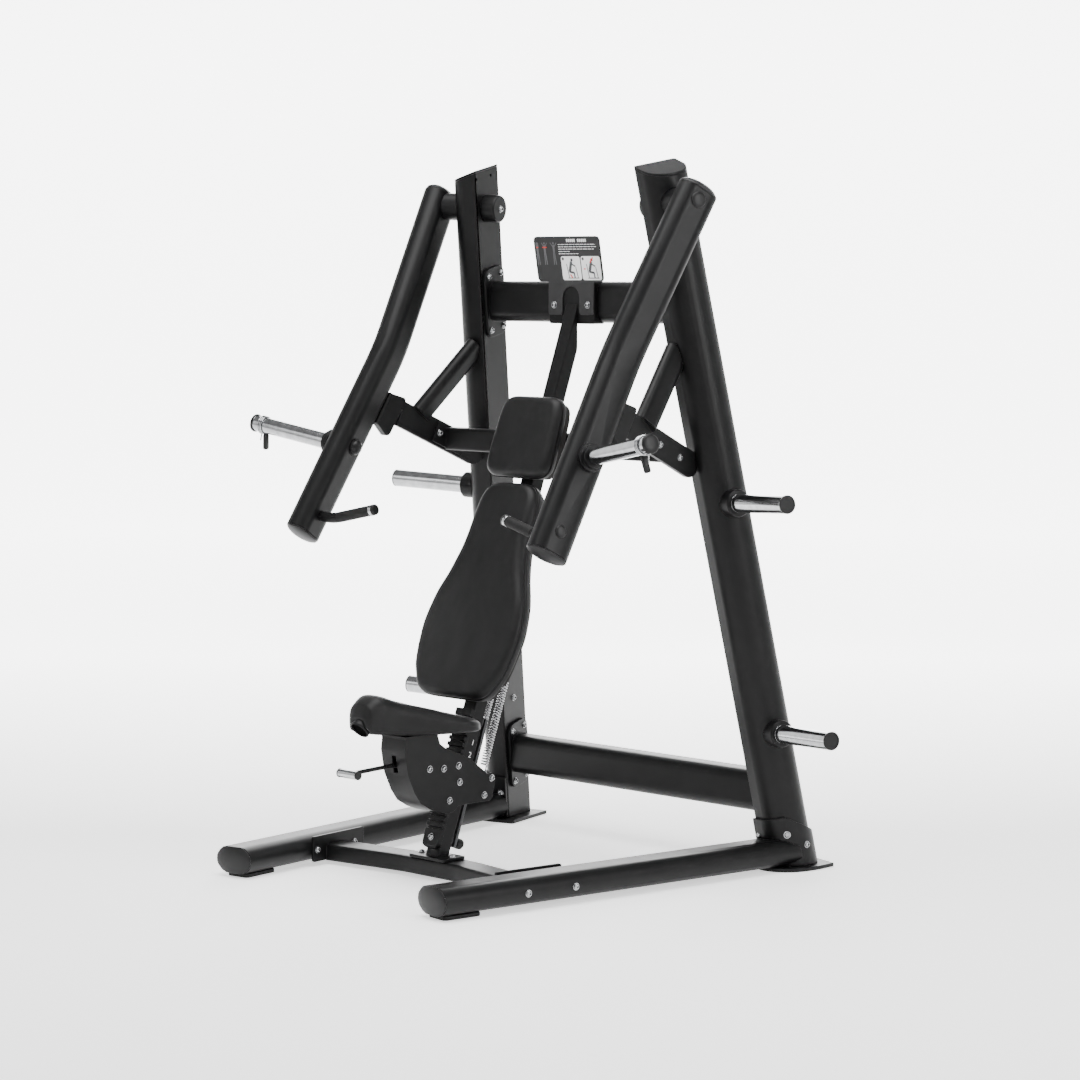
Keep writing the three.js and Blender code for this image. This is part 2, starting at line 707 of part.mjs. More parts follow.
function makePlacard() {
  const back = saddleFront - gap;
  const t = placard.thickness;
  const { outer, inner, bottomZ } = placardLeg;
  const archTop = 1524;
  const legs = [
    new THREE.Vector2(outer, bottomZ + 8),
    new THREE.Vector2(outer, placard.bendZ + 2),
    new THREE.Vector2(-outer, placard.bendZ + 2),
    new THREE.Vector2(-outer, bottomZ + 8),
    ...arc(-outer + 8, bottomZ + 8, 8, 8, 180, 270, 3).slice(1),
    ...arc(-inner - 8, bottomZ + 8, 8, 8, 270, 360, 3),
    ...arc(0, archTop - inner, inner, inner, 180, 0, 12),
    ...arc(inner + 8, bottomZ + 8, 8, 8, 180, 270, 3),
    ...arc(outer - 8, bottomZ + 8, 8, 8, 270, 360, 3).slice(0, -1),
  ];
  const upright = new THREE.Matrix4().makeBasis(xAxis, zAxis, vec(0, -1, 0)).setPosition(vec(0, back, 0));
  const legPlate = prism(legs, t, upright);
  const up = vec(0, -Math.sin(rad(placard.lean)), Math.cos(rad(placard.lean)));
  const sheet = prism(
    roundedRect(placard.width, placard.height, 12, 4),
    t,
    frame(vec(0, back, placard.bendZ).addScaledVector(up, placard.height / 2), xAxis, up),
  );
  return join(legPlate, sheet);
}
addMesh(machine, 'placard', makePlacard(), placardPrint);

// ---- ratchet rack and guide bar -----------------------------------------------------------------
const rackBottom = -50;
const rackTop = 322;

function makeRack() {
  const points = [[rackBottom, gap], [rackTop, gap], [rackTop, rackDepth]];
  const slotDepth = 7;
  const slotWidth = 7;
  for (let u = rackTop - 18; u > 6; u -= rackPitch) {
    points.push([u, rackDepth], [u - 1, rackDepth - slotDepth]);
    points.push([u - slotWidth, rackDepth - slotDepth], [u - slotWidth, rackDepth]);
  }
  points.push([rackBottom + 6, rackDepth], [rackBottom, rackDepth - 6]);
  const rack = spineProfile(points, -rackWidth / 2, rackWidth / 2);
  const blank = spineBlock([-rackWidth / 2, rackWidth / 2], [rackBottom, rackTop + 40], [-5, 30], 16);
  return rack.intersect(blank);
}
addMesh(machine, 'ratchet_rack', makeRack(), framePaint);

const barFront = -spineDepth - guideBar.offset;
const barRear = barFront - guideBar.thickness;

function makeGuideBar() {
  const half = guideBar.width / 2;
  const bar = spineBlock([-half, half], [-32, 312], [barRear, barFront]);
  const spacer = (u) => spineBlock([-half + 6, half - 6], [u, u + 16], [barFront - 1, -spineDepth - gap]);
  return join(bar, spacer(-24), spacer(292));
}
addMesh(machine, 'guide_bar', makeGuideBar(), framePaint);

const knob = [[0, 0], [8, 0], [8, 6], [14, 8], [14, 28], [12, 30], [0, 30]];
addMesh(
  machine,
  'guide_stop',
  turned(knob, spinePoint(0, -18, barRear - gap), spineForward.clone().negate()),
  rubber,
);

// ---- back pad and head pad -----------------------------------------------------------------------
const padBoard = 12;
const backPadTilt = 3.3; // the back pad's lower end stands further off the spine
const backHalfWidths = [
  [335, 138], [377, 150], [413, 164], [480, 174], [517, 177], [560, 172],
  [612, 160], [684, 130], [761, 110], [848, 106], [925, 102],
];

// A pad outline symmetric about the middle, from half widths at heights, with rounded ends.
function padOutline(halfWidths, inset, bottomRadius, topRadius) {
  const curve = new THREE.SplineCurve(halfWidths.map(([u, half]) => new THREE.Vector2(half - inset, u)));
  const [bottom, bottomHalf] = halfWidths[0];
  const [top, topHalf] = halfWidths[halfWidths.length - 1];
  const low = bottom + inset;
  const high = top - inset;
  const side = curve.getPoints(22).filter(({ y }) => y > low + bottomRadius && y < high - topRadius);
  const right = [
    ...arc(bottomHalf + 8 - inset - bottomRadius, low + bottomRadius, bottomRadius, bottomRadius, -90, 0, 5),
    ...side,
    ...arc(topHalf - inset - topRadius, high - topRadius, topRadius, topRadius, 0, 90, 5),
  ];
  const left = right.map(({ x, y }) => new THREE.Vector2(-x, y)).reverse();
  return [...right, ...left];
}

const backPadFrame = (() => {
  const tilt = rad(backPadTilt);
  const up = spineUp.clone().multiplyScalar(Math.cos(tilt)).addScaledVector(spineForward, -Math.sin(tilt));
  const hinge = spinePoint(0, 925, 0);
  return (o) => {
    const matrix = frame(hinge, xAxis, up);
    return matrix.multiply(new THREE.Matrix4().makeTranslation(0, -925, o));
  };
})();

const backPadThickness = 56;
const backPadFront = 54;
const headPad = { bottom: 943, top: 1165, lowHalf: 116, highHalf: 109, front: 56, thickness: 48 };

addMesh(
  machine,
  'back_pad',
  prism(padOutline(backHalfWidths, 0, 52, 52), backPadThickness - padBoard, backPadFrame(backPadFront - 44)),
  padCover,
);

function makeBackBoard() {
  const front = backPadFront - 44 - gap;
  const panel = prism(padOutline(backHalfWidths, 8, 46, 46), padBoard - 4, backPadFrame(front - padBoard + 4));
  const clearance = spineBlock([-60, 60], [200, 1300], [-60, gap]);
  const lowFoot = spineBlock([-20, 20], [420, 500], [gap, 44]);
  const highFoot = spineBlock([-20, 20], [760, 840], [gap, 12]);
  const rearLimit = backPadFrame(front - 1);
  const keep = prism(roundedRect(400, 900, 10), 60, rearLimit.multiply(
    new THREE.Matrix4().makeTranslation(0, 620, 0),
  ));
  const feet = join(lowFoot, highFoot).subtract(keep);
  return join(panel, feet).subtract(clearance);
}
addMesh(machine, 'back_board', makeBackBoard(), board);

const headWidths = [
  [headPad.bottom, headPad.lowHalf - 6], [1000, 116], [1050, 114.5], [1110, 112], [headPad.top, headPad.highHalf],
];
addMesh(
  machine,
  'head_pad',
  prism(padOutline(headWidths, 0, 40, 40), headPad.thickness - padBoard, spineFrame(0, 0, headPad.front - 36)),
  padCover,
);
const headBoardRear = gap;
addMesh(
  machine,
  'head_board',
  prism(padOutline(headWidths, 8, 34, 34), headPad.front - 36 - 2 * gap, spineFrame(0, 0, headBoardRear)),
  board,
);

// ---- seat carriage -----------------------------------------------------------------------------
const sidePlateOutline = [
  [-877, 381], [-881, 349], [-870, 288], [-848, 241], [-826, 211], [-793, 192], [-761, 180],
  [-733, 174], [-715, 176], [-696, 190], [-662, 192], [-585, 191], [-574, 198], [-565, 236],
  [-566, 254], [-576, 263], [-592, 263], [-639, 298], [-669, 315], [-688, 325], [-737, 343], [-759, 358], [-767, 381],
];
const frontBandPoints = 8; // the band follows the outline's first points
const springTie = vec(0, -577, 250);
const leverPivot = vec(0, -796, 297);

const yzFrame = (x) => new THREE.Matrix4().makeBasis(yAxis, zAxis, xAxis).setPosition(vec(x, 0, 0));
const yzPoint = ([y, z]) => new THREE.Vector2(y, z);

function makeCarriage() {
  const outline = sidePlateOutline.map(yzPoint).reverse();
  const plate = (x) => prism(outline, plateThickness, yzFrame(x));
  const inner = carriageHalfWidth - plateThickness;
  const front = sidePlateOutline.slice(0, frontBandPoints);
  const behind = front.map(([y, z], i) => {
    const [y0, z0] = front[Math.max(i - 1, 0)];
    const [y1, z1] = front[Math.min(i + 1, front.length - 1)];
    const length = Math.hypot(y1 - y0, z1 - z0);
    return [y - ((z1 - z0) / length) * 5, z + ((y1 - y0) / length) * 5];
  }).reverse();
  const band = prism([...front, ...behind].map(yzPoint), 2 * inner + 2, yzFrame(-inner - 1));
  const slot = box(16, 60, 44, new THREE.Matrix4().makeTranslation(0, -880, 313));
  const top = box(2 * carriageHalfWidth, 112, 7, new THREE.Matrix4().makeTranslation(0, -822, 384));
  const tie = rod(5, springTie.clone().setX(-inner - 1), springTie.clone().setX(inner + 1), 12);
  const pivot = rod(5, leverPivot.clone().setX(-inner - 1), leverPivot.clone().setX(inner + 1), 12);
  return join(plate(inner), plate(-carriageHalfWidth), band.subtract(slot), top, tie, pivot);
}
addMesh(machine, 'seat_carriage', makeCarriage(), framePaint);

const glideHalf = carriageHalfWidth - plateThickness - gap;
const glideClearance = 0.6;

function makeFrontGlide() {
  const near = rackDepth + glideClearance;
  const body = spineBlock([-glideHalf, glideHalf], [72, 185], [near, near + 22]);
  return body.subtract(spineBlock([-14, 14], [98, 200], [0, 60]));
}
addMesh(machine, 'front_glide', makeFrontGlide(), nylon);
addMesh(
  machine,
  'rear_glide',
  spineBlock([-glideHalf, glideHalf], [102, 142], [barRear - glideClearance - 30, barRear - glideClearance]),
  nylon,
);

// The seat: a saddle-shaped block, highest at its nose, narrower towards the front.
const seatSections = [
  // y, half width, underside, top
  [-1003, 34, 414, 444], [-990, 43, 405, 470], [-957, 53, 399, 491], [-905, 64, 394, 483],
  [-847, 88, 389, 467], [-780, 116, 388, 449], [-730, 131, 388, 436], [-703, 128, 388, 429],
  [-681, 114, 388, 423], [-664, 92, 389, 416], [-653, 62, 391, 410],
];

function makeSeatPad() {
  const stations = seatSections.map(([y, half, low, high]) => (
    new THREE.Matrix4().makeBasis(vec(half / 50, 0, 0), vec(0, 0, (high - low) / 50), vec(0, -1, 0))
      .setPosition(vec(0, y, (high + low) / 2))
  )).reverse();
  return sweep(roundedRect(100, 50, 20, 3), stations);
}
addMesh(machine, 'seat_pad', makeSeatPad(), padCover);

function makeSeatLever() {
  const hub = rod(11, leverPivot.clone().setX(-12), leverPivot.clone().setX(12), 14);
  const hole = rod(5.6, leverPivot.clone().setX(-20), leverPivot.clone().setX(20), 12);
  const grip = vec(0, -1030, 305);
  const handle = rod(10.8, grip.clone().setX(-33), grip.clone().setX(33), 14);
  const shank = rod(5.5, leverPivot.clone().add(vec(0, -4, 0.7)), vec(0, -885, 311), 10);
  const reach = rod(5.5, vec(0, -884, 310.9), grip, 10);
  const knuckle = solid(new THREE.SphereGeometry(5.5, 10, 6).translate(0, -884.5, 311));
  const pawl = spineBlock([-8, 8], [130, 142], [rackDepth + 1.2, 118]);
  return join(hub, shank, reach, knuckle, handle, pawl).subtract(hole);
}
addMesh(machine, 'seat_lever', makeSeatLever(), chrome);

// ---- springs -----------------------------------------------------------------------------------
const springStart = 190;
for (const [side, x] of [['left', -springHalfSpacing], ['right', springHalfSpacing]]) {
  const body = rod(springRadius, spinePoint(x, springStart, -springOffset), spinePoint(x, springTopU - 14, -springOffset), 12);
  addMesh(machine, `spring_${side}`, body, zinc);
}

// ---- arms --------------------------------------------------------------------------------------
function armStation(point, angle) {
  const out = nAxis.clone().multiplyScalar(Math.cos(angle)).addScaledVector(armDown, -Math.sin(angle));
  return frame(point, armBack, out);
}

function armStations(steps = 3) {
  const bendReach = 48;
  const start = armBend.clone().addScaledVector(armDown, -bendReach);
  const end = armBend.clone().addScaledVector(lowerDown, bendReach);
  const curve = new THREE.QuadraticBezierCurve3(start, armBend, end);
  const through = Array.from({ length: steps + 1 }, (_, i) => (
    armStation(curve.getPoint(i / steps), rad(armFlare) * (i / steps))
  ));
  const top = pivotPoint.clone().addScaledVector(armDown, -armAbovePivot);
  return [armStation(top, 0), ...through, armStation(armPoint(armLowerLength, 0, 0), rad(armFlare))];
}

const flangeSteps = [[36, 12], [29, 22]];

function makeArmTube() {
  const stations = armStations();
  const tube = sweep(oval(armWidth, armDepth), stations, oval(armWidth - 2 * wall, armDepth - 2 * wall));
  const shaftStart = sidePoint(armPivot.r, armPivot.u, housingInner + 10);
  const shaft = rod(shaftRadius, shaftStart, sidePoint(armPivot.r, armPivot.u, armInnerFace + 2));
  const flanges = flangeSteps.map(([radius, height]) => rod(
    radius,
    armPoint(armPeg.along, armDepth / 2 - 1, 0),
    armPoint(armPeg.along, armDepth / 2 + height, 0),
    20,
  ));
  return join(tube, shaft, ...flanges);
}
addPair('arm_tube', makeArmTube(), framePaint);

const topCapFrame = frame(
  pivotPoint.clone().addScaledVector(armDown, -armAbovePivot - gap),
  armBack,
  nAxis.clone().negate(),
);
addPair('arm_top_cap', domeCap(armWidth, armDepth, 22, topCapFrame), plastic);
addPair(
  'arm_bottom_cap',
  domeCap(armWidth, armDepth, 13, frame(armPoint(armLowerLength + gap, 0, 0), armBack, lowerOut)),
  plastic,
);

const pegBase = armDepth / 2 + flangeSteps[1][1] + gap;

function makeWeightPeg() {
  const length = armPeg.reach - pegBase;
  const bore = armPeg.radius - wall;
  const profile = [
    [bore, 0], [armPeg.radius, 0], [armPeg.radius, length - 4], [armPeg.radius + 2.5, length - 4],
    [armPeg.radius + 2.5, length - 1], [armPeg.radius + 1.5, length],
    [0, length], [0, length - 5], [bore, length - 5], [bore, 0],
  ];
  return turned(profile, armPoint(armPeg.along, pegBase, 0), lowerOut, 20);
}
addPair('weight_peg', makeWeightPeg(), chrome);

function makeSpringClip() {
  const inner = armPeg.radius + gap;
  const ring = turned(
    [[inner, 0], [inner + 3.2, 0], [inner + 3.2, 22], [inner, 22], [inner, 0]],
    armPoint(armPeg.along, 262, 0),
    lowerOut,
    20,
  );
  const centre = armPoint(armPeg.along, 273, 0);
  const down = zAxis.clone().negate().addScaledVector(rAxis, Math.tan(rad(12)));
  down.addScaledVector(lowerOut, -down.dot(lowerOut)).normalize();
  const side = new THREE.Vector3().crossVectors(down, lowerOut);
  const tabMiddle = centre.clone()
    .addScaledVector(down, inner + 23)
    .addScaledVector(side, 4)
    .addScaledVector(lowerOut, -9);
  const tab = prism(
    roundedRect(16, 46, 5),
    9,
    frame(tabMiddle, side, down),
  );
  const pegRoom = rod(inner, armPoint(armPeg.along, 250, 0), armPoint(armPeg.along, 290, 0), 20);
  return join(ring, tab.subtract(pegRoom));
}
addPair('spring_clip', makeSpringClip(), plastic);

const handleKnee = 68; // from the arm's axis to the handle's bend
const endPoint = sidePoint(handleEnd.r, handleEnd.u, handleEnd.n);
const kneePoint = armPoint(handleStart, -handleKnee, 0);
const gripDirection = new THREE.Vector3().subVectors(endPoint, kneePoint).normalize();
const gripLength = kneePoint.distanceTo(endPoint);
const gripFrom = 26; // past the knee
const endCapLength = 16;

class HandlePath extends THREE.Curve {
  getPoint(t, target = vec(0, 0, 0)) {
    const root = armPoint(handleStart, -armDepth / 2 - gap, 0);
    const after = kneePoint.clone().addScaledVector(gripDirection, gripFrom);
    const curve = new THREE.QuadraticBezierCurve3(root, kneePoint, after);
    return target.copy(curve.getPoint(t));
  }
}

function makeHandleBar() {
  const shape = new THREE.Shape(circle(gripRadius, 14));
  const bend = new THREE.ExtrudeGeometry(shape, { extrudePath: new HandlePath(), steps: 6, bevelEnabled: false });
  const along = (distance) => kneePoint.clone().addScaledVector(gripDirection, distance);
  const core = rod(gripRadius - 4, along(gripFrom - 2), along(gripLength - 4), 12);
  const end = turned(
    [[0, 0], [gripRadius, 0], [gripRadius, endCapLength - 3], [gripRadius - 3, endCapLength], [0, endCapLength]],
    along(gripLength - endCapLength),
    gripDirection,
    14,
  );
  const swept = cutBeyond(solid(bend), armPoint(handleStart, -armDepth / 2 - gap, 0), lowerOut);
  return join(swept, core, end);
}
addPair('handle_bar', makeHandleBar(), framePaint);

function makeGrip() {
  const length = gripLength - endCapLength - gripFrom - 2 * gap;
  const inner = gripRadius - 4 + gap;
  return turned(
    [[inner, 0], [gripRadius, 0], [gripRadius, length], [inner, length], [inner, 0]],
    kneePoint.clone().addScaledVector(gripDirection, gripFrom + gap),
    gripDirection,
    14,
  );
}
addPair('handle_grip', makeGrip(), rubber);

// ---- the origin is under the middle of the whole machine ----------------------------------------
machine.updateMatrixWorld(true);
const bounds = new THREE.Box3().setFromObject(machine, true);
const middle = bounds.getCenter(vec(0, 0, 0));
machine.position.set(-middle.x, -middle.y, -bounds.min.z);

export default machine;
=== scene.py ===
import json
import math

import bmesh
import bpy
from mathutils import Matrix, Vector, noise
from mathutils.bvhtree import BVHTree


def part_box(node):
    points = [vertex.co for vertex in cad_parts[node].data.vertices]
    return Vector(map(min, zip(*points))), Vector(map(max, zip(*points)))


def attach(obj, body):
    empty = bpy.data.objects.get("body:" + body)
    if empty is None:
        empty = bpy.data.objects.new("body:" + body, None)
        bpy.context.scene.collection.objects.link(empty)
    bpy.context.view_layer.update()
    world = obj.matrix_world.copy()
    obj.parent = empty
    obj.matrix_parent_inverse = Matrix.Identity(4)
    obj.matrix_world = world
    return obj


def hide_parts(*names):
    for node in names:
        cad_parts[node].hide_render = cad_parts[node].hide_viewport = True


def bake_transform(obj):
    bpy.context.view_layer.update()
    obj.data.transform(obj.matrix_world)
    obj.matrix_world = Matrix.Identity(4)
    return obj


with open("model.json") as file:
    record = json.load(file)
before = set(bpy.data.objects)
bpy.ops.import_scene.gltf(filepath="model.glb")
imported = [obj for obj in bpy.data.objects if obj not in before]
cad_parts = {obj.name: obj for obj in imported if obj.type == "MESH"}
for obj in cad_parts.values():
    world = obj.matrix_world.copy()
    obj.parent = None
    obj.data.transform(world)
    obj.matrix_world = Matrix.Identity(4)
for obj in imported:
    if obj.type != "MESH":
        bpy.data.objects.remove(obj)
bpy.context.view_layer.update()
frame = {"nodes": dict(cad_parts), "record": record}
nodes = frame["nodes"]
joints = {joint["name"]: joint for joint in frame["record"]["behaviour"]["joints"]}
Z = Vector((0, 0, 1))
X = Vector((1, 0, 0))
Y = Vector((0, 1, 0))

# ---- axes read from the record's joints; lengths in metres ---------------------------------------
pivot = Vector(joints["arm_right_pivot"]["pos_m"])
outward = -Vector(joints["arm_right_pivot"]["axis"]).normalized()
rearward = Z.cross(outward).normalized()
upward = outward.cross(rearward)
peg_out = Vector(joints["clip_right_slide"]["axis"]).normalized()
spine_up = Vector(joints["seat_slide"]["axis"]).normalized()
spine_front = Vector((0, -spine_up.z, spine_up.y))
lever_pivot = Vector(joints["seat_lever_pivot"]["pos_m"])
lever_to_spine_foot = Vector((0, 0.0687, -0.171))
spine_foot = lever_pivot + lever_to_spine_foot
pivot_r, pivot_u, pivot_n = -0.275, 1.736, 0.16  # the arm pivot's place in the side plan
lever_front = 0.796  # the seat lever's pivot is this far in front of the top plan's zero line
upright_lean = math.radians(10.8)
across_flat = rearward * math.cos(upright_lean) + upward * math.sin(upright_lean)
upright_up = upward * math.cos(upright_lean) - rearward * math.sin(upright_lean)
arm_lean = math.radians(29.35)
arm_down = rearward * -math.sin(arm_lean) - upward * math.cos(arm_lean)
arm_back = rearward * math.cos(arm_lean) - upward * math.sin(arm_lean)
lower_down = peg_out.cross(arm_back).normalized()
if lower_down.dot(arm_down) < 0:
    lower_down.negate()
bend_back, bend_down = 0.004, 0.4463
arm_bend = pivot + arm_back * bend_back + arm_down * bend_down


def side(r, u, n):
    """A point by its place in the side plan: r rearward, u up and n outward."""
    return pivot + rearward * (r - pivot_r) + upward * (u - pivot_u) + outward * (n - pivot_n)


def on_flat(w, t, n):
    """A point by its place on the right upright: w across, t along it and n outward."""
    return side(0, 0, n) + across_flat * w + upright_up * t


def by_arm(along, out, back):
    """A point from the right arm's bend: along the lower arm, out along the weight peg, and back."""
    return arm_bend + lower_down * along + peg_out * out + arm_back * back


def by_spine(x, u, o):
    """A point from the spine's foot: x across, u up the spine and o in front of it."""
    return spine_foot + X * x + spine_up * u + spine_front * o


def plan(x, y, z):
    """A point by its place in the top plan, at height z."""
    return Vector((x, y + lever_front + lever_pivot.y, z))


def mirror(v):
    return Vector((-v.x, v.y, v.z))


# ---- materials -----------------------------------------------------------------------------------
class Nodes:
    """A small builder for one material's node tree."""

    def __init__(self, name):
        self.material = bpy.data.materials.new(name)
        self.material.use_nodes = True
        self.tree = self.material.node_tree
        self.shader = self.tree.nodes["Principled BSDF"]
        self.place = self.add("ShaderNodeTexCoord").outputs["Object"]

    def add(self, kind, **settings):
        node = self.tree.nodes.new(kind)
        for key, value in settings.items():
            setattr(node, key, value)
        return node

    def link(self, a, b):
        self.tree.links.new(a, b)

    def set(self, **values):
        for key, value in values.items():
            self.shader.inputs[key.replace("_", " ")].default_value = value

    def noise(self, scale, detail=3.0, stretch=None):
        place = self.place
        if stretch:
            mapping = self.add("ShaderNodeMapping")
            mapping.inputs["Scale"].default_value = stretch
            self.link(place, mapping.inputs["Vector"])
            place = mapping.outputs["Vector"]
        texture = self.add("ShaderNodeTexNoise")
        texture.inputs["Scale"].default_value = scale
        texture.inputs["Detail"].default_value = detail
        self.link(place, texture.inputs["Vector"])
        return texture.outputs["Fac"]

    def cells(self, scale):
        texture = self.add("ShaderNodeTexVoronoi", feature="DISTANCE_TO_EDGE")
        texture.inputs["Scale"].default_value = scale
        self.link(self.place, texture.inputs["Vector"])
        return texture.outputs["Distance"]

    def ramp(self, value, low, high):
        ramp = self.add("ShaderNodeValToRGB")
        ramp.color_ramp.elements[0].position = 0.3
        ramp.color_ramp.elements[1].position = 0.7
        ramp.color_ramp.elements[0].color = (*low, 1)
        ramp.color_ramp.elements[1].color = (*high, 1)
        self.link(value, ramp.inputs["Fac"])
        return ramp.outputs["Color"]

    def spread(self, value, low, high):
        reach = self.add("ShaderNodeMapRange")
        reach.inputs["To Min"].default_value = low
        reach.inputs["To Max"].default_value = high
        self.link(value, reach.inputs["Value"])
        return reach.outputs["Result"]

    def bump(self, layers):
        normal = None
        for value, strength, distance in layers:
            bump = self.add("ShaderNodeBump")
            bump.inputs["Strength"].default_value = strength
            bump.inputs["Distance"].default_value = distance
            self.link(value, bump.inputs["Height"])
            if normal:
                self.link(normal, bump.inputs["Normal"])
            normal = bump.outputs["Normal"]
        self.link(normal, self.shader.inputs["Normal"])


def coated(name, low, high, rough, grain, grain_strength, specular):
    made = Nodes(name)
    mottle = made.noise(14, 4)
    made.link(made.ramp(mottle, low, high), made.shader.inputs["Base Color"])
    made.link(made.spread(mottle, *rough), made.shader.inputs["Roughness"])
    made.set(Specular_IOR_Level=specular)
    made.bump([(made.noise(grain, 2), grain_strength, 0.0004), (made.noise(60, 2), 0.03, 0.001)])
    return made.material


def metal(name, low, high, rough, scale, stretch=(1, 1, 1)):
    made = Nodes(name)
    streaks = made.noise(scale, 5, stretch)
    made.link(made.ramp(streaks, low, high), made.shader.inputs["Base Color"])
    made.link(made.spread(streaks, *rough), made.shader.inputs["Roughness"])
    made.set(Metallic=1.0)
    made.bump([(made.noise(scale * 8, 2), 0.02, 0.0002)])
    return made.material


def upholstery(name):
    made = Nodes(name)
    patch = made.noise(9, 4)
    colour = made.ramp(patch, (0.003, 0.003, 0.0032), (0.0046, 0.0046, 0.0048))
    made.link(colour, made.shader.inputs["Base Color"])
    made.link(made.spread(patch, 0.42, 0.54), made.shader.inputs["Roughness"])
    made.set(Specular_IOR_Level=0.2)
    made.bump([
        (made.cells(520), 0.32, 0.0005),
        (made.noise(1300, 2), 0.12, 0.0003),
        (made.noise(26, 3), 0.1, 0.002),
    ])
    return made.material


def flat_print(name, low, high):
    return coated(name, low, high, (0.35, 0.5), grain=700, grain_strength=0.05, specular=0.4)


# each: name, darkest and lightest base colour, smallest and largest roughness
paint = coated(
    "frame_paint", (0.003, 0.003, 0.0032), (0.0044, 0.0045, 0.0047), (0.34, 0.43),
    grain=1100, grain_strength=0.16, specular=0.17)
cap_black = coated(
    "cap_plastic", (0.006, 0.006, 0.0062), (0.0085, 0.0085, 0.0088), (0.34, 0.46),
    grain=700, grain_strength=0.12, specular=0.22)
rubber = coated(
    "rubber", (0.006, 0.006, 0.006), (0.009, 0.009, 0.009), (0.55, 0.7),
    grain=500, grain_strength=0.4, specular=0.2)
nylon = coated(
    "nylon", (0.007, 0.007, 0.007), (0.011, 0.011, 0.011), (0.45, 0.58),
    grain=600, grain_strength=0.1, specular=0.35)
board = coated(
    "pad_board", (0.006, 0.0055, 0.005), (0.010, 0.009, 0.008), (0.6, 0.75),
    grain=300, grain_strength=0.3, specular=0.25)
cover = upholstery("pad_cover")
chrome = metal("chrome", (0.4, 0.405, 0.415), (0.52, 0.525, 0.535), (0.09, 0.2), 55)
zinc = metal("zinc", (0.24, 0.245, 0.25), (0.38, 0.385, 0.39), (0.16, 0.28), 120)
spring_wire = metal("spring_wire", (0.3, 0.3, 0.31), (0.44, 0.44, 0.45), (0.14, 0.26), 120)
dark_steel = metal(
    "bright_steel", (0.05, 0.051, 0.053), (0.085, 0.086, 0.088), (0.28, 0.42), 160, (1, 1, 0.1))
sheet_dark = flat_print("placard_sheet", (0.011, 0.011, 0.0115), (0.014, 0.014, 0.0145))
ink_white = flat_print("placard_white", (0.72, 0.72, 0.72), (0.84, 0.84, 0.84))
ink_grey = flat_print("placard_grey", (0.06, 0.06, 0.063), (0.1, 0.1, 0.104))
ink_dark = flat_print("placard_dark", (0.05, 0.05, 0.055), (0.08, 0.08, 0.085))
ink_red = flat_print("placard_red", (0.55, 0.02, 0.015), (0.7, 0.04, 0.03))
shade = coated(
    "deep_shade", (0.0005, 0.0005, 0.0005), (0.0009, 0.0009, 0.0009), (0.85, 0.95),
    grain=300, grain_strength=0.05, specular=0.02)


# ---- mesh tools ----------------------------------------------------------------------------------
def piece(name, verts, faces, material, body, sharp=32):
    mesh = bpy.data.meshes.new(name)
    mesh.from_pydata([tuple(v) for v in verts], [], faces)
    mesh.materials.append(material)
    work = bmesh.new()
    work.from_mesh(mesh)
    bmesh.ops.remove_doubles(work, verts=work.verts, dist=1e-6)
    bmesh.ops.recalc_face_normals(work, faces=work.faces)
    for face in work.faces:
        face.smooth = True
    for edge in work.edges:
        if len(edge.link_faces) == 2 and edge.calc_face_angle() > math.radians(sharp):
            edge.smooth = False
    work.to_mesh(mesh)
    work.free()
    made = bpy.data.objects.new(name, mesh)
    bpy.context.scene.collection.objects.link(made)
    if body:
        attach(made, body)
    return made


def axes_for(direction):
    d = direction.normalized()
    helper = X if abs(d.x) < 0.8 else Z
    a = d.cross(helper).normalized()
    return a, d.cross(a), d


def ring(centre, a, b, radius, count, corners=0):
    """A ring of points: round, or with straight sides when corners is given."""
    points = []
    for i in range(count):
        angle = 2 * math.pi * i / count
        reach = radius
        if corners:
            part = math.pi / corners
            reach = radius * math.cos(part) / math.cos((angle % (2 * part)) - part)
        points.append(centre + a * (reach * math.cos(angle)) + b * (reach * math.sin(angle)))
    return points


class Build:
    """Collects vertices and faces for one piece."""

    def __init__(self):
        self.verts = []
        self.faces = []

    def rings(self, rings, close_start=True, close_end=True):
        start = len(self.verts)
        count = len(rings[0])
        for points in rings:
            self.verts.extend(points)
        for k in range(len(rings) - 1):
            low = start + k * count
            for i in range(count):
                j = (i + 1) % count
                self.faces.append((low + i, low + j, low + count + j, low + count + i))
        if close_start:
            self.faces.append(tuple(start + i for i in reversed(range(count))))
        if close_end:
            end = start + (len(rings) - 1) * count
            self.faces.append(tuple(end + i for i in range(count)))

    def turned(self, centre, direction, profile, count):
        """A turned shape. Each step is a radius and a distance along, and a corner count if not round."""
        a, b, d = axes_for(direction)
        self.rings([
            ring(centre + d * along, a, b, radius, count, corners)
            for radius, along, corners in [(*p, 0)[:3] for p in profile]
        ])

    def tube(self, path, radius, count):
        rings = []
        a = None
        for i, point in enumerate(path):
            ahead = path[min(i + 1, len(path) - 1)] - path[max(i - 1, 0)]
            ahead.normalize()
            if a is None:
                a = axes_for(ahead)[0]
            a = (a - ahead * a.dot(ahead)).normalized()
            rings.append(ring(point, a, ahead.cross(a), radius, count))
        self.rings(rings)

    def slab(self, centre, across, up, outline, depth):
        """A flat plate: outline in (across, up), raised by depth along their cross product."""
        out = across.cross(up)
        low = [centre + across * p[0] + up * p[1] for p in outline]
        high = [p + out * depth for p in low]
        self.rings([low, high])


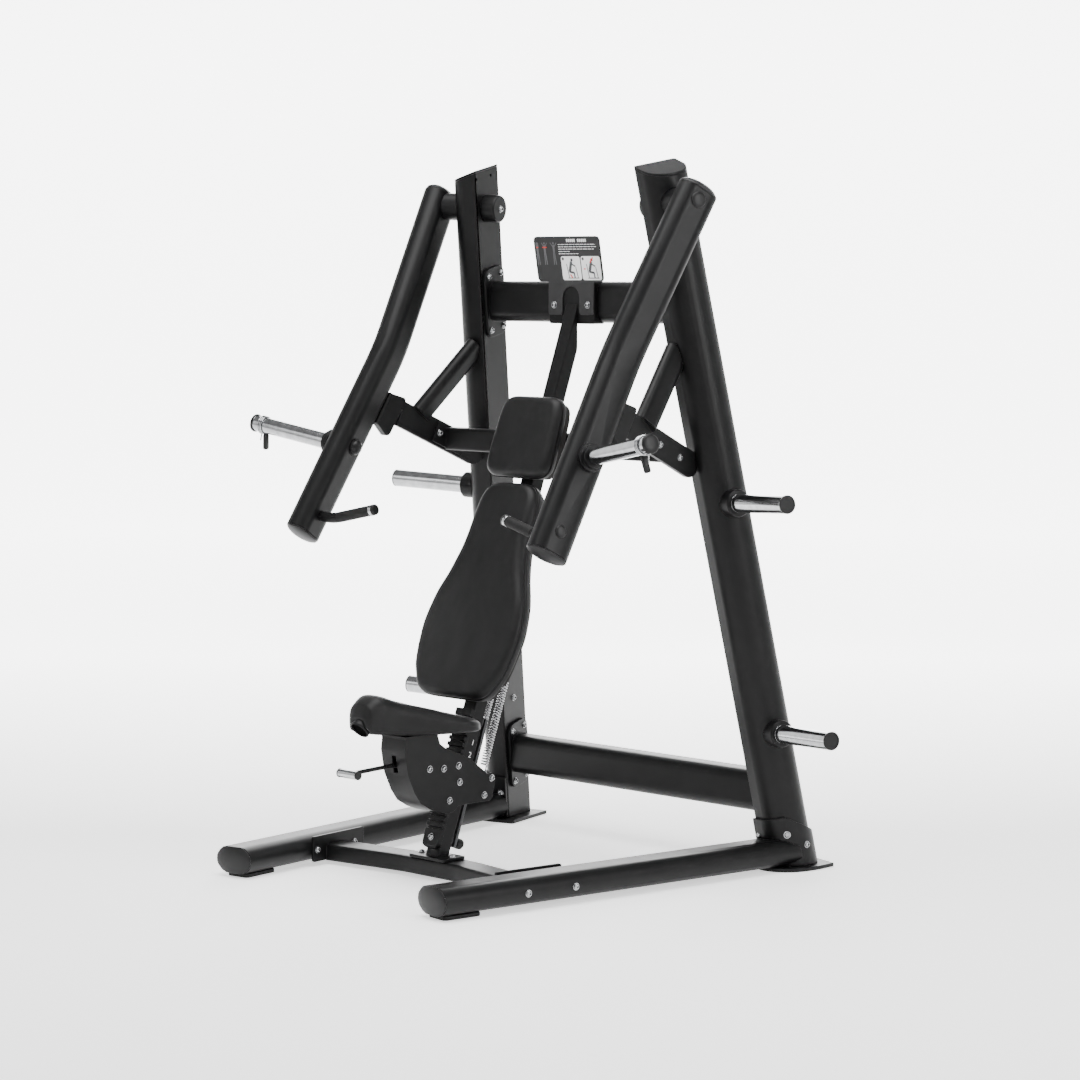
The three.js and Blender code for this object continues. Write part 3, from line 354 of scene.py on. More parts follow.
def rounded(width, height, radius, steps):
    """The outline of a rectangle with rounded corners."""
    points = []
    for sx, sy, first in ((1, 1, 0), (-1, 1, 90), (-1, -1, 180), (1, -1, 270)):
        for i in range(steps + 1):
            angle = math.radians(first + 90 * i / steps)
            points.append((
                sx * (width / 2 - radius) + radius * math.cos(angle),
                sy * (height / 2 - radius) + radius * math.sin(angle),
            ))
    return points


trees = {}
ray_reach = 0.05  # how far off the surface a ray starts


def land(name, point, direction):
    """Where a line coming back along the direction first meets a CAD node, and the way it faces."""
    if name not in trees:
        mesh = nodes[name].data
        trees[name] = BVHTree.FromPolygons(
            [v.co for v in mesh.vertices], [tuple(p.vertices) for p in mesh.polygons])
    d = direction.normalized()
    spot, facing = trees[name].ray_cast(point + d * ray_reach, -d, 3 * ray_reach)[:2]
    if spot is None:
        return point, d
    return spot, facing if facing.dot(d) > 0 else -facing


# a washer with a domed hexagon-socket bolt: radius, distance along, corners of the socket
bolt_profile = (
    (0.0096, 0.0), (0.0096, 0.0013), (0.0092, 0.0017), (0.0076, 0.0017), (0.0074, 0.0030),
    (0.0070, 0.0046), (0.0062, 0.0059), (0.0050, 0.0067), (0.0043, 0.0069), (0.0040, 0.0067, 6),
    (0.0040, 0.0040, 6), (0.0005, 0.0038),
)
bolt_sunk = 0.0002
bolts = {}


def bolt(body, node, point, direction):
    """A bolt on a washer, set down on a CAD node."""
    spot, facing = land(node, point, direction)
    bolts.setdefault(body, Build()).turned(spot - facing * bolt_sunk, facing, bolt_profile, 24)


def bolt_pair(body, node, point, direction):
    """A bolt on the right, and its mirror on the left."""
    bolt(body, node, point, direction)
    other = node.replace("_right", "_left")
    bolt(body.replace("_right", "_left"), other, mirror(point), mirror(direction))


def pair(name, build, material, body, sharp=32):
    """The right piece, and its mirror on the left."""
    piece(name + "_right", build.verts, build.faces, material, body[0], sharp)
    verts = [mirror(v) for v in build.verts]
    piece(name + "_left", verts, build.faces, material, body[1], sharp)


both_arms = ("arm_right", "arm_left")
both_frame = ("frame", "frame")
both_clips = ("clip_right", "clip_left")

# ---- CAD nodes: paint, rounded edges and smooth shading ------------------------------------------
finishes = {
    "base_rail": paint, "base_plate": paint, "foot_sleeve": paint, "upright": paint,
    "pivot_housing": paint, "stop_bracket": paint, "arm_tube": paint, "handle_bar": paint,
    "upper_crossbar": paint, "lower_crossbar": paint, "mid_crossbar": paint,
    "front_cross_tube": paint, "spine": paint, "spine_saddle": paint, "ratchet_rack": paint,
    "seat_carriage": paint, "rail_end_cap": cap_black, "upright_cap": paint,
    "arm_top_cap": cap_black, "arm_bottom_cap": cap_black, "spring_clip": cap_black,
    "front_foot": rubber, "bumper": rubber, "handle_grip": rubber, "guide_stop": rubber,
    "storage_peg_upper": chrome, "storage_peg_lower": chrome, "weight_peg": chrome,
    "seat_lever": chrome, "guide_bar": dark_steel, "placard": sheet_dark, "back_pad": cover,
    "head_pad": cover, "seat_pad": cover, "back_board": board, "head_board": board,
    "front_glide": nylon, "rear_glide": nylon, "spring_left": spring_wire, "spring_right": spring_wire,
}
edge_width = 0.0014
edge_widths = {"placard": 0.0005, "seat_carriage": 0.0008, "ratchet_rack": 0.0004, "front_glide": 0.0006}
weld_reach = 0.00002
flat_angle = math.radians(0.6)
crease_angle = math.radians(32)
for name, node in nodes.items():
    kind = name if name in finishes else name.rsplit("_", 1)[0]
    mesh = node.data
    mesh.materials.clear()
    mesh.materials.append(finishes[kind])
    for extra in ("custom_normal", "sharp_face"):
        if extra in mesh.attributes:
            mesh.attributes.remove(mesh.attributes[extra])
    for polygon in mesh.polygons:
        polygon.use_smooth = True
        polygon.material_index = 0
    weld = node.modifiers.new("weld", "WELD")
    weld.merge_threshold = weld_reach
    flat = node.modifiers.new("flat_faces", "DECIMATE")
    flat.decimate_type = "DISSOLVE"
    flat.angle_limit = flat_angle
    bevel = node.modifiers.new("edges", "BEVEL")
    bevel.width = edge_widths.get(kind, edge_width)
    bevel.segments = 2
    bevel.limit_method = "ANGLE"
    bevel.angle_limit = crease_angle
    bevel.use_clamp_overlap = False
    normals = node.modifiers.new("normals", "WEIGHTED_NORMAL")
    normals.mode = "FACE_AREA"
    normals.weight = 80


def repaint(name, material, wanted):
    """Gives the faces of a CAD node whose middle passes a test a second finish."""
    mesh = nodes[name].data
    mesh.materials.append(material)
    for polygon in mesh.polygons:
        if wanted(polygon.center):
            polygon.material_index = 1


def from_axis(point, start, direction):
    """A point's distance from an axis, and how far along the axis it is."""
    along = (point - start).dot(direction)
    return (point - start - direction * along).length, along


peg_places = {"upper": (-0.125, 0.963), "lower": (-0.007, 0.358)}
painted_length = 0.1182  # of a storage peg, from the upright; the rest of it is chrome
for level, (r, u) in peg_places.items():
    for hand, flip in (("right", lambda v: v), ("left", mirror)):
        start = flip(side(r, u, 0))
        axis = flip(outward)
        repaint(
            f"storage_peg_{level}_{hand}", paint,
            lambda p, start=start, axis=axis: from_axis(p, start, axis)[1] < painted_length,
        )
lever_low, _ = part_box("seat_lever")
grip_radius, grip_height = 0.0108, 0.305
chrome_reach = 0.0112  # from the grip's axis; the rest of the lever is painted
grip_middle = Vector((0, lever_low.y + grip_radius, grip_height))
repaint(
    "seat_lever", paint,
    lambda p: math.hypot(p.y - grip_middle.y, p.z - grip_middle.z) > chrome_reach,
)

# ---- bolts ---------------------------------------------------------------------------------------
rail_turn = math.radians(8)
rail_in = Vector((-math.cos(rail_turn), math.sin(rail_turn), 0))
rail_middle_z = 0.044
for x, y in ((0.463, -0.858), (0.482, -0.713)):
    bolt_pair("frame", "base_rail_right", plan(x, y, rail_middle_z), -rail_in)
for y in (-0.838, -0.688):
    bolt_pair("frame", "front_cross_tube", plan(0.345, y, rail_middle_z), rail_in)
bolt_pair("frame", "foot_sleeve_right", on_flat(-0.01, 0.085, 0.018), -across_flat)
bolt_pair("frame", "foot_sleeve_right", on_flat(0.033, 0.085, 0.084), outward)
bolt_pair("frame", "foot_sleeve_right", on_flat(0.085, 0.045, 0.084), outward)
flat_middle = 0.0635
flange = 0.009
for place in ("upper_crossbar", "lower_crossbar"):
    low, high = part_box(place)
    middle_z = (low.z + high.z) / 2
    t = (middle_z / upward.z - flat_middle * math.sin(upright_lean)) / math.cos(upright_lean)
    for w in (-0.033, 0.033):
        for up in (-0.074, 0.074):
            bolt_pair("frame", place, on_flat(flat_middle + w, t + up, -flange), -outward)
beam_start = side(-0.229, 1.067, 0.04)
beam_way = (side(-0.465, 1.175, 0.136) - beam_start).normalized()
beam_in = beam_way.cross(Z).normalized()
for along in (0.048, 0.137):
    spot = beam_start + beam_way * along
    bolt_pair("frame", "stop_bracket_right", spot, -beam_in)
    bolt_pair("frame", "mid_crossbar", spot + beam_in * 0.016, beam_in)
for x in (-0.062, 0.062):
    bolt("frame", "placard", plan(x, -0.237, 1.474), Vector((0, -1, 0)))
for x in (-0.057, 0.057):
    bolt("frame", "spine", plan(x, -0.729, 0.062), Z)
bolt("frame", "ratchet_rack", by_spine(0, -0.0215, 0.015), spine_front)
for y, z in ((-0.796, 0.297), (-0.747, 0.293), (-0.695, 0.295), (-0.691, 0.252), (-0.727, 0.208),
             (-0.604, 0.208), (-0.577, 0.25)):
    for x in (-1, 1):
        bolt("seat", "seat_carriage", plan(0.046 * x, y, z), X * x)
bolt_pair("frame", "pivot_housing_right", side(pivot_r, pivot_u, -0.042), -outward)
for level, (r, u) in peg_places.items():
    bolt_pair("frame", "upright_right", side(r, u, 0), -outward)
for u in (0.62, 0.8, 0.88):
    bolt("frame", "back_board", by_spine(0.05, u, -0.01), -spine_front)
    bolt("frame", "back_board", by_spine(-0.05, u, -0.01), -spine_front)
for body, build in bolts.items():
    piece(f"bolts_{body}", build.verts, build.faces, zinc, body, sharp=30)

# ---- plugs, caps and end discs -------------------------------------------------------------------
plug = Build()
plug.turned(by_arm(0.292, -0.0347, 0), -peg_out, (
    (0.0225, 0), (0.0225, 0.004), (0.0205, 0.0055), (0.0196, 0.0056), (0.019, 0.0075),
    (0.0165, 0.0125), (0.011, 0.0162), (0.005, 0.0178), (0.0005, 0.0182)), 40)
pair("arm_dome_plug", plug, cap_black, both_arms, 50)
plug = Build()
plug.turned(by_arm(0.503, 0.0343, -0.004), peg_out, (
    (0.0155, 0), (0.0155, 0.0035), (0.014, 0.0052), (0.009, 0.0062), (0.0005, 0.0064)), 32)
pair("arm_bolt_plug", plug, cap_black, both_arms, 50)
plug = Build()
plug.turned(side(pivot_r, pivot_u, 0.1943), outward, (
    (0.0205, 0), (0.0205, 0.003), (0.0185, 0.0048), (0.012, 0.006), (0.0005, 0.0064)), 36)
pair("pivot_plug", plug, cap_black, both_arms, 50)
peg_along = 0.296  # where the weight peg is on the lower arm
cap = Build()
cap.turned(by_arm(peg_along, 0.2982, 0), peg_out, (
    (0.0222, 0), (0.0243, 0.0004), (0.0245, 0.0042), (0.0235, 0.0062), (0.0195, 0.0078),
    (0.011, 0.0088), (0.0005, 0.009)), 40)
pair("peg_end_cap", cap, cap_black, both_arms, 50)
for level, (r, u) in peg_places.items():
    cap = Build()
    cap.turned(side(r, u, 0.3432), outward, (
        (0.0236, 0), (0.02395, 0.0008), (0.02395, 0.0022), (0.0228, 0.0034), (0.0185, 0.0034),
        (0.0182, 0.0026), (0.0005, 0.0026)), 40)
    pair(f"storage_end_cap_{level}", cap, cap_black, both_frame, 40)

# ---- handles: a bright ring and a notched black end ----------------------------------------------
end_point = side(-0.757, 0.9425, 0.0196)
knee = by_arm(0.502, -0.068, 0)
grip_way = (end_point - knee).normalized()
ring_back = 0.0162  # from the handle's end to the start of its ring
grip_from_knee = 0.0268
ring_build = Build()
ring_build.turned(end_point - grip_way * ring_back, grip_way, (
    (0.0132, 0), (0.0146, 0.0004), (0.0149, 0.0012), (0.0149, 0.0078), (0.0146, 0.0086),
    (0.0132, 0.009)), 36)
pair("handle_ring", ring_build, chrome, both_arms, 40)
end = Build()
end.turned(end_point - grip_way * 0.0074, grip_way, (
    (0.0135, 0), (0.0144, 0.0004), (0.0144, 0.0062), (0.0132, 0.0082), (0.009, 0.0088),
    (0.0085, 0.0062), (0.0005, 0.006)), 36)
pair("handle_end", end, cap_black, both_arms, 40)
ridges = Build()
grip_start = knee + grip_way * grip_from_knee
grip_length = (end_point - knee).length - ring_back - grip_from_knee
ridge_pitch = 0.0032
valley, crest = 0.0139, 0.01425  # radii
profile = []
count = int(grip_length / ridge_pitch)
for i in range(count):
    at = i * grip_length / count
    profile += [(valley, at), (crest, at + 0.0009), (crest, at + 0.0021), (valley, at + 0.003)]
ridges.turned(grip_start, grip_way, [(0.0125, 0), *profile, (0.0125, grip_length)], 28)
pair("grip_sleeve", ridges, rubber, both_arms, 60)
for hand in ("right", "left"):
    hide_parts(f"handle_grip_{hand}")

# ---- weight pegs' spring collars -----------------------------------------------------------------
wire = Build()
drop = -Z + rearward * math.tan(math.radians(12))
drop = (drop - peg_out * drop.dot(peg_out)).normalized()
across = drop.cross(peg_out).normalized()
collar_turns = 3
steps_a_turn = 32
collar_start, collar_pitch, collar_radius = 0.2655, 0.0052, 0.0238
path = []
for i in range(collar_turns * steps_a_turn + 1):
    share = i / steps_a_turn
    angle = 2 * math.pi * share
    path.append(
        by_arm(peg_along, collar_start + collar_pitch * share, 0)
        + (drop * math.cos(angle) + across * math.sin(angle)) * collar_radius)


def leg(start, way):
    """A straight end of the wire that goes down into the tab."""
    return [start + drop * (0.004 * k) + across * (0.0012 * k * way) for k in range(1, 6)]


path = leg(path[0], -1)[::-1] + path + leg(path[-1], 1)
wire.tube(path, 0.0017, 10)
pair("collar_wire", wire, chrome, both_clips, 70)
tab = Build()
tab_middle = by_arm(peg_along, 0.264, 0) + drop * 0.0448 + across * 0.004
tab_outline = rounded(0.016, 0.044, 0.005, 4)
tab.rings([
    [tab_middle + across * (x * s) + drop * (y * s2) + peg_out * z for x, y in tab_outline]
    for s, s2, z in ((0.8, 0.93, -0.005), (0.95, 0.98, -0.0043), (1, 1, -0.003), (1, 1, 0.003),
                     (0.95, 0.98, 0.0043), (0.8, 0.93, 0.005))
])
rib_outline = rounded(0.012, 0.0016, 0.0007, 2)
for k in range(5):
    rib_drop = -0.008 + 0.005 * k
    tab.rings([
        [tab_middle + across * (x * s) + drop * (rib_drop + y * s) + peg_out * z
         for x, y in rib_outline]
        for s, z in ((1, 0.0045), (0.9, 0.0058))
    ])
pair("collar_tab", tab, cap_black, both_clips, 40)
for hand in ("right", "left"):
    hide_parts(f"spring_clip_{hand}")

# ---- seat springs: close coils with a hook at each end -------------------------------------------
# the coils' ends, the hooks' pins and the wire's shape, in places along and behind the spine
low_end, high_end = 0.196, 0.420
top_pin = 0.440
spring_o = -0.086
coil_radius, coil_pitch, wire_radius = 0.00875, 0.0070, 0.00175
low_hook_radius, top_hook_radius = 0.007, 0.0065
steps_a_coil = 16
hook_angles = [math.radians(-100 + 20 * k) for k in range(16)]
tie = plan(0, -0.577, 0.25)
tie_u = (tie - spine_foot).dot(spine_up)
tie_o = (tie - spine_foot).dot(spine_front)
for hand, x in (("left", -0.020), ("right", 0.020)):
    coil = Build()
    turns = round((high_end - low_end) / coil_pitch)
    steps = turns * steps_a_coil
    path = [
        by_spine(
            x + coil_radius * math.cos(2 * math.pi * i / steps_a_coil),
            low_end + (high_end - low_end) * i / steps,
            spring_o + coil_radius * math.sin(2 * math.pi * i / steps_a_coil),
        ) for i in range(steps + 1)
    ]
    bottom = [
        by_spine(x, tie_u + low_hook_radius * math.sin(v), tie_o + low_hook_radius * math.cos(v))
        for v in hook_angles]
    bottom.append(by_spine(x + 0.003, low_end - 0.008, -0.093))
    top = [by_spine(x + 0.003, high_end + 0.004, -0.084)] + [
        by_spine(x, top_pin + top_hook_radius * math.sin(v), spring_o + top_hook_radius * math.cos(v))
        for v in hook_angles]
    coil.tube(bottom + path + top, wire_radius, 8)
    spring = piece(f"coil_{hand}", coil.verts, coil.faces, spring_wire, None, 80)
    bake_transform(spring)
    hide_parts(f"spring_{hand}")

# ---- padded back and head rests ------------------------------------------------------------------
def smoothed(points, rounds):
    """A closed loop with its corners evened out, a little more with every round."""
    for _ in range(rounds):
        n = len(points)
        points = [(points[i - 1] + points[i] * 2 + points[(i + 1) % n]) / 4 for i in range(n)]
    return points


def outline_of(name, facing):
    """A pad node's front outline in its own plane, evenly spaced, with the plane's frame and depths."""
    up = facing.cross(X).normalized()
    if up.z < 0:
        up.negate()
    verts = [v.co for v in nodes[name].data.vertices]
    depth = [v.dot(facing) for v in verts]
    near, far = min(depth), max(depth)
    flat = {(round(v.x, 5), round(v.dot(up), 5)) for v, d in zip(verts, depth) if d > far - 8e-4}
    ys = [p[1] for p in flat]
    middle = (min(ys) + max(ys)) / 2
    order = sorted(flat, key=lambda p: math.atan2(p[1] - middle, p[0]))
    loop = [Vector((p[0], p[1] - middle)) for p in order]
    lengths = [(loop[(i + 1) % len(loop)] - loop[i]).length for i in range(len(loop))]
    total = sum(lengths)
    count = 168
    even = []
    i = 0
    walked = 0.0
    for k in range(count):
        target = total * k / count
        while walked + lengths[i] < target:
            walked += lengths[i]
            i += 1
        even.append(loop[i].lerp(loop[(i + 1) % len(loop)], (target - walked) / lengths[i]))
    even = smoothed(even, 5)
    return even, up, middle, near, far


def inset(loop, distance):
    """A closed loop moved inward by a distance, or outward where the distance is negative."""
    n = len(loop)
    made = []
    for i in range(n):
        ahead = (loop[(i + 1) % n] - loop[i - 1]).normalized()
        made.append(loop[i] + Vector((-ahead.y, ahead.x)) * distance)
    return made


def soften(made):
    """One round of subdivision, left as a modifier."""
    smoother = made.modifiers.new("smoother", "SUBSURF")
    smoother.levels = 1
    smoother.render_levels = 1


# rows of a pad, counted from its back
soft_from = 7  # the cover's unevenness starts
seam_first, seam_middle, seam_last = 8, 9.5, 13  # the seam's gathers
crown_from = 10  # the crown starts
pad_half_width = 0.17


def make_pad(name, node, facing, radius, crown, body):
    """A cushion round a pad node's outline, with a bulged side, a seam ridge and a crowned front."""
    loop, up, middle, near, far = outline_of(node, facing)
    depth = far - near
    rows = [(0.03, 0.0009), (0.012, 0.0006), (0.004, 0.0012), (0.0012, 0.0034), (0.0, 0.0075)]
    rows += [(-0.0012, depth * 0.34), (-0.0016, depth * 0.48), (-0.0008, depth - radius - 0.0035)]
    seam = depth - radius
    rows += [(0.0008, seam - 0.0018), (0.0016, seam - 0.0006), (0.0006, seam + 0.0014)]
    for k in range(1, 9):
        angle = math.radians(90 * k / 8)
        rows.append((radius * (1 - math.cos(angle)), depth - radius + radius * math.sin(angle)))
    shells = []
    for distance, z in rows:
        part = inset(loop, distance)
        if distance > 0.01:
            part = smoothed(part, 3)
        shells.append([(p, z) for p in part])
    inner = [p for p, _ in shells[-1]]
    rings_in = 22
    for k in range(1, rings_in + 1):
        share = 1 - k / rings_in
        shells.append([(p * share, depth) for p in smoothed(inner, k)])
    reach = max(p.length for p in loop)
    build = Build()
    rings = []
    for index, shell in enumerate(shells):
        points = []
        for i, (p, z) in enumerate(shell):
            rise = 0.0
            if index >= crown_from:
                edge = min(1.0, (index - crown_from) / (len(rows) - crown_from))
                width = abs(p.x) / pad_half_width
                tall = abs(p.y) / reach
                rise = crown * edge * max(0.0, 1 - width ** 2) * max(0.0, 1 - tall ** 4)
            spot = X * p.x + up * (p.y + middle) + facing * (near + z + rise)
            soft = noise.noise(spot * 16) * 0.0012 + noise.noise(spot * 45) * 0.0004
            pucker = 0.0
            if seam_first <= index <= seam_last:
                fade = 1 - abs(index - seam_middle) / 5
                pucker = 0.00045 * math.sin(i * 2 * math.pi / 3.0) * fade
            spot += facing * (soft + pucker) * (1.0 if index >= soft_from else 0.0)
            points.append(spot)
        rings.append(points)
    build.rings(rings, True, False)
    made = piece(name, build.verts, build.faces, cover, body, 120)
    soften(made)
    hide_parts(node)


def facing_of(name):
    """The direction of a pad node's largest flat face on its front."""
    groups = {}
    for polygon in nodes[name].data.polygons:
        if polygon.normal.dot(spine_front) > 0.8:
            key = tuple(round(c, 2) for c in polygon.normal)
            groups.setdefault(key, []).append(polygon)
    largest = max(groups.values(), key=lambda group: sum(p.area for p in group))
    return sum((p.normal * p.area for p in largest), Vector()).normalized()


make_pad("back_cushion", "back_pad", facing_of("back_pad"), 0.019, 0.009, "frame")
make_pad("head_cushion", "head_pad", facing_of("head_pad"), 0.019, 0.006, "frame")

# ---- seat cushion --------------------------------------------------------------------------------
seat_verts = [v.co for v in nodes["seat_pad"].data.vertices]
stations = sorted({round(v.y, 4) for v in seat_verts})
sections = []
for y in stations:
    here = [v for v in seat_verts if abs(v.y - y) < 2e-4]
    sections.append((y, max(v.x for v in here), min(v.z for v in here), max(v.z for v in here)))


def section_at(y):
    """Half width, underside and top, drawn smoothly through the CAD node's sections."""
    def through(values):
        i = max(j for j, s in enumerate(sections) if s[0] <= y + 1e-9)
        i = min(i, len(sections) - 2)
        t = (y - sections[i][0]) / (sections[i + 1][0] - sections[i][0])
        p = [values[max(i - 1, 0)], values[i], values[i + 1], values[min(i + 2, len(values) - 1)]]
        return 0.5 * (
            2 * p[1] + (p[2] - p[0]) * t + (2 * p[0] - 5 * p[1] + 4 * p[2] - p[3]) * t * t
            + (3 * p[1] - p[0] - 3 * p[2] + p[3]) * t ** 3)
    return [through([s[k] for s in sections]) for k in (1, 2, 3)]


def make_seat():
    """The seat cushion with its raised nose, and the round socket in the nose."""
    front, rear = sections[0][0], sections[-1][0]
    around = 64
    seam_height, seam_width = 0.016, 0.0035
    rings = []
    rows = 84
    cup = plan(0, -0.9935, 0.4135)
    cup_lean = math.radians(42)
    cup_way = Vector((0, -math.cos(cup_lean), -math.sin(cup_lean)))
    cup_radius, cup_edge = 0.0238, 0.034
    for k in range(rows + 1):
        share = k / rows
        y = front + (rear - front) * (share - 0.06 * math.sin(2 * math.pi * share))
        y = min(max(y, front), rear)
        half, low, high = section_at(y)
        nose = max(0.0, 1 - abs(y - front - 0.030) / 0.09)
        high += 0.0085 * nose * nose * (3 - 2 * nose)
        end_share = min(1.0, (y - front) / 0.014, (rear - y) / 0.012)
        close = math.sqrt(max(0.0, 1 - (1 - end_share) ** 2))
        shrink = 0.3 + 0.7 * close
        middle = low + (high - low) * 0.42
        points = []
        for i in range(around):
            angle = 2 * math.pi * i / around
            c, s = math.cos(angle), math.sin(angle)
            power = 2 / 2.9 if s > 0 else 2 / 4.5
            x = half * shrink * math.copysign(abs(c) ** power, c)
            tall = (high - middle) if s > 0 else (middle - low)
            z = middle + tall * shrink * math.copysign(abs(s) ** power, s)
            spot = Vector((x, y, z))
            from_seam = abs(spot.z - (low + seam_height))
            if from_seam < seam_width and close > 0.9:
                spot.x -= math.copysign(0.0014 * (1 - from_seam / seam_width), spot.x)
            spot += Z * noise.noise(spot * 18) * 0.0012 * (1 if s > 0 else 0)
            away, along = from_axis(spot, cup, cup_way)
            depth = 0.014 if away < cup_radius else 0.003
            if along > -depth and away < cup_edge:
                spot -= cup_way * (along + depth)
            points.append(spot)
        rings.append(points)
    build = Build()
    build.rings(rings)
    made = piece("seat_cushion", build.verts, build.faces, cover, "seat", 120)
    soften(made)
    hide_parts("seat_pad")
    socket = Build()
    socket.turned(cup, cup_way, (
        (0.0240, -0.014), (0.0262, -0.004), (0.0262, 0.0005), (0.0252, 0.0022), (0.0240, 0.0026),
        (0.0230, 0.0016), (0.0228, -0.002), (0.0005, -0.0022)), 40)
    piece("seat_nose_socket", socket.verts, socket.faces, cover, "seat", 60)
    hollow = Build()
    hollow.turned(cup, cup_way, (
        (0.0218, -0.0019), (0.0226, -0.0018), (0.0224, -0.0012), (0.0150, -0.0016), (0.0005, -0.0017)), 40)
    piece("seat_nose_hollow", hollow.verts, hollow.faces, shade, "seat", 60)


make_seat()

# ---- lever grip ends and seat height numbers -----------------------------------------------------
ends = Build()
for x in (-1, 1):
    ends.turned(grip_middle + X * (0.0325 * x), X * x, (
        (0.0105, 0), (0.0113, 0.0005), (0.0113, 0.0032), (0.0102, 0.0042), (0.0005, 0.0044)), 28)
piece("lever_grip_ends", ends.verts, ends.faces, cap_black, "lever", 40)

for label, y, z in (("1", -0.622, 0.344), ("2", -0.633, 0.313)):
    curve = bpy.data.curves.new("number", "FONT")
    curve.body = label
    curve.size = 0.021
    curve.extrude = 0.0002
    curve.align_x = "CENTER"
    curve.align_y = "CENTER"
    text = bpy.data.objects.new("number", curve)
    bpy.context.scene.collection.objects.link(text)
    bpy.context.view_layer.update()
    mesh = bpy.data.meshes.new_from_object(text.evaluated_get(bpy.context.evaluated_depsgraph_get()))
    spot = land("spine", plan(0.023, y, z), X)[0]
    turn = Matrix((spine_front * -1, spine_up, X)).transposed().to_4x4()
    mesh.transform(Matrix.Translation(spot + X * 0.0003) @ turn)
    bpy.data.objects.remove(text)
    mesh.materials.clear()
    mesh.materials.append(ink_white)
    number = bpy.data.objects.new(f"height_number_{label}", mesh)
    bpy.context.scene.collection.objects.link(number)
    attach(number, "frame")

# ---- placard print -------------------------------------------------------------------------------
low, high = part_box("placard")
on_sheet, over_print, on_top = 0.0003, 0.0006, 0.0009  # how far a print is in front of the sheet
ink_depth = 0.00015
sheet_lean = math.radians(10)
sheet_up = Vector((0, -math.sin(sheet_lean), math.cos(sheet_lean)))
sheet_out = Vector((0, -math.cos(sheet_lean), -math.sin(sheet_lean)))
sheet_spot = land("placard", Vector((0, (low.y + high.y) / 2, high.z - 0.06)), sheet_out)[0]
prints = {"white": Build(), "grey": Build(), "dark": Build(), "red": Build()}


def mark(ink, x, y, outline, lift=on_sheet):
    """A printed patch, x across and y up from the middle of the placard."""
    centre = sheet_spot + X * x + sheet_up * y + sheet_out * lift
    prints[ink].slab(centre, X, sheet_up, outline, ink_depth)


def stroke(ink, x0, y0, x1, y1, width, lift=on_sheet):
    length = math.hypot(x1 - x0, y1 - y0)
    c, s = (x1 - x0) / length, (y1 - y0) / length
    bar = rounded(length + width, width, width * 0.49, 3)
    shape = [(px * c - py * s, px * s + py * c) for px, py in bar]
    mark(ink, (x0 + x1) / 2, (y0 + y1) / 2, shape, lift)


def disc(ink, x, y, radius, lift=on_sheet):
    shape = [(radius * math.cos(v), radius * math.sin(v)) for v in [2 * math.pi * k / 20 for k in range(20)]]
    mark(ink, x, y, shape, lift)


# three small figures
for i, x in enumerate((-0.110, -0.083, -0.049)):
    spread = (0.003, 0.009, 0.011)[i]
    disc("grey", x, 0.0425, 0.0030)
    stroke("grey", x, 0.035, x, 0.020, 0.0075)
    stroke("grey", x - spread, 0.043, x - 0.0035, 0.034, 0.0026)
    stroke("grey", x + spread, 0.043, x + 0.0035, 0.034, 0.0026)
    stroke("grey", x - 0.002, 0.016, x - 0.003, -0.014, 0.0034)
    stroke("grey", x + 0.002, 0.016, x + 0.004, -0.014, 0.0034)
    if i < 2:
        stroke("red", x - 0.002 - 0.005 * i, 0.0315, x + 0.002 + 0.005 * i, 0.0315, 0.0026, over_print)
# bars in the place of the title's letters, with a gap between its two words
for k in range(11):
    if k != 5:
        mark("white", 0.0035 + 0.0068 * k, 0.0495, rounded(0.0052, 0.0082, 0.0012, 2))
# bars in the place of words: each line's height on the sheet, and its length
lines = ((0.039, 0.136), (0.0328, 0.139), (0.0265, 0.130), (0.0202, 0.040), (0.0142, 0.071))
line_start = -0.031
word_gap = 0.0036
for row, (y, length) in enumerate(lines):
    x = line_start
    k = 0
    while x < line_start + length:
        word = 0.006 + 0.008 * ((row * 5 + k * 3) % 4) / 3
        stroke("white", x, y, min(x + word, line_start + length), y, 0.0016)
        x += word + word_gap
        k += 1
# two boxes with a seated figure each
for x in (0.0085, 0.0820):
    mark("white", x, -0.0245, rounded(0.0700, 0.0640, 0.007, 5))
    disc("dark", x - 0.0275, 0.0005, 0.0042, over_print)
    disc("dark", x + 0.004, -0.0025, 0.0042, over_print)
    stroke("dark", x + 0.001, -0.010, x - 0.006, -0.031, 0.0088, over_print)
    stroke("dark", x - 0.007, -0.034, x + 0.008, -0.037, 0.0056, over_print)
    stroke("dark", x + 0.009, -0.037, x + 0.010, -0.049, 0.0042, over_print)
    stroke("dark", x + 0.002, -0.013, x + 0.014, -0.019, 0.0038, over_print)
    stroke("grey", x - 0.014, -0.051, x + 0.025, -0.051, 0.0022, over_print)
    stroke("grey", x + 0.022, -0.051, x + 0.017, -0.022, 0.0022, over_print)
    stroke("grey", x - 0.010, -0.050, x - 0.016, -0.014, 0.0022, over_print)
stroke("red", 0.004, -0.0425, 0.009, -0.0490, 0.0036, on_top)
stroke("red", 0.080, -0.009, 0.091, 0.003, 0.0036, on_top)
stroke("red", 0.056, -0.0265, 0.061, -0.0265, 0.0028, on_top)
for ink, material in (("white", ink_white), ("grey", ink_grey), ("dark", ink_dark), ("red", ink_red)):
    piece(f"placard_{ink}", prints[ink].verts, prints[ink].faces, material, "frame", 60)

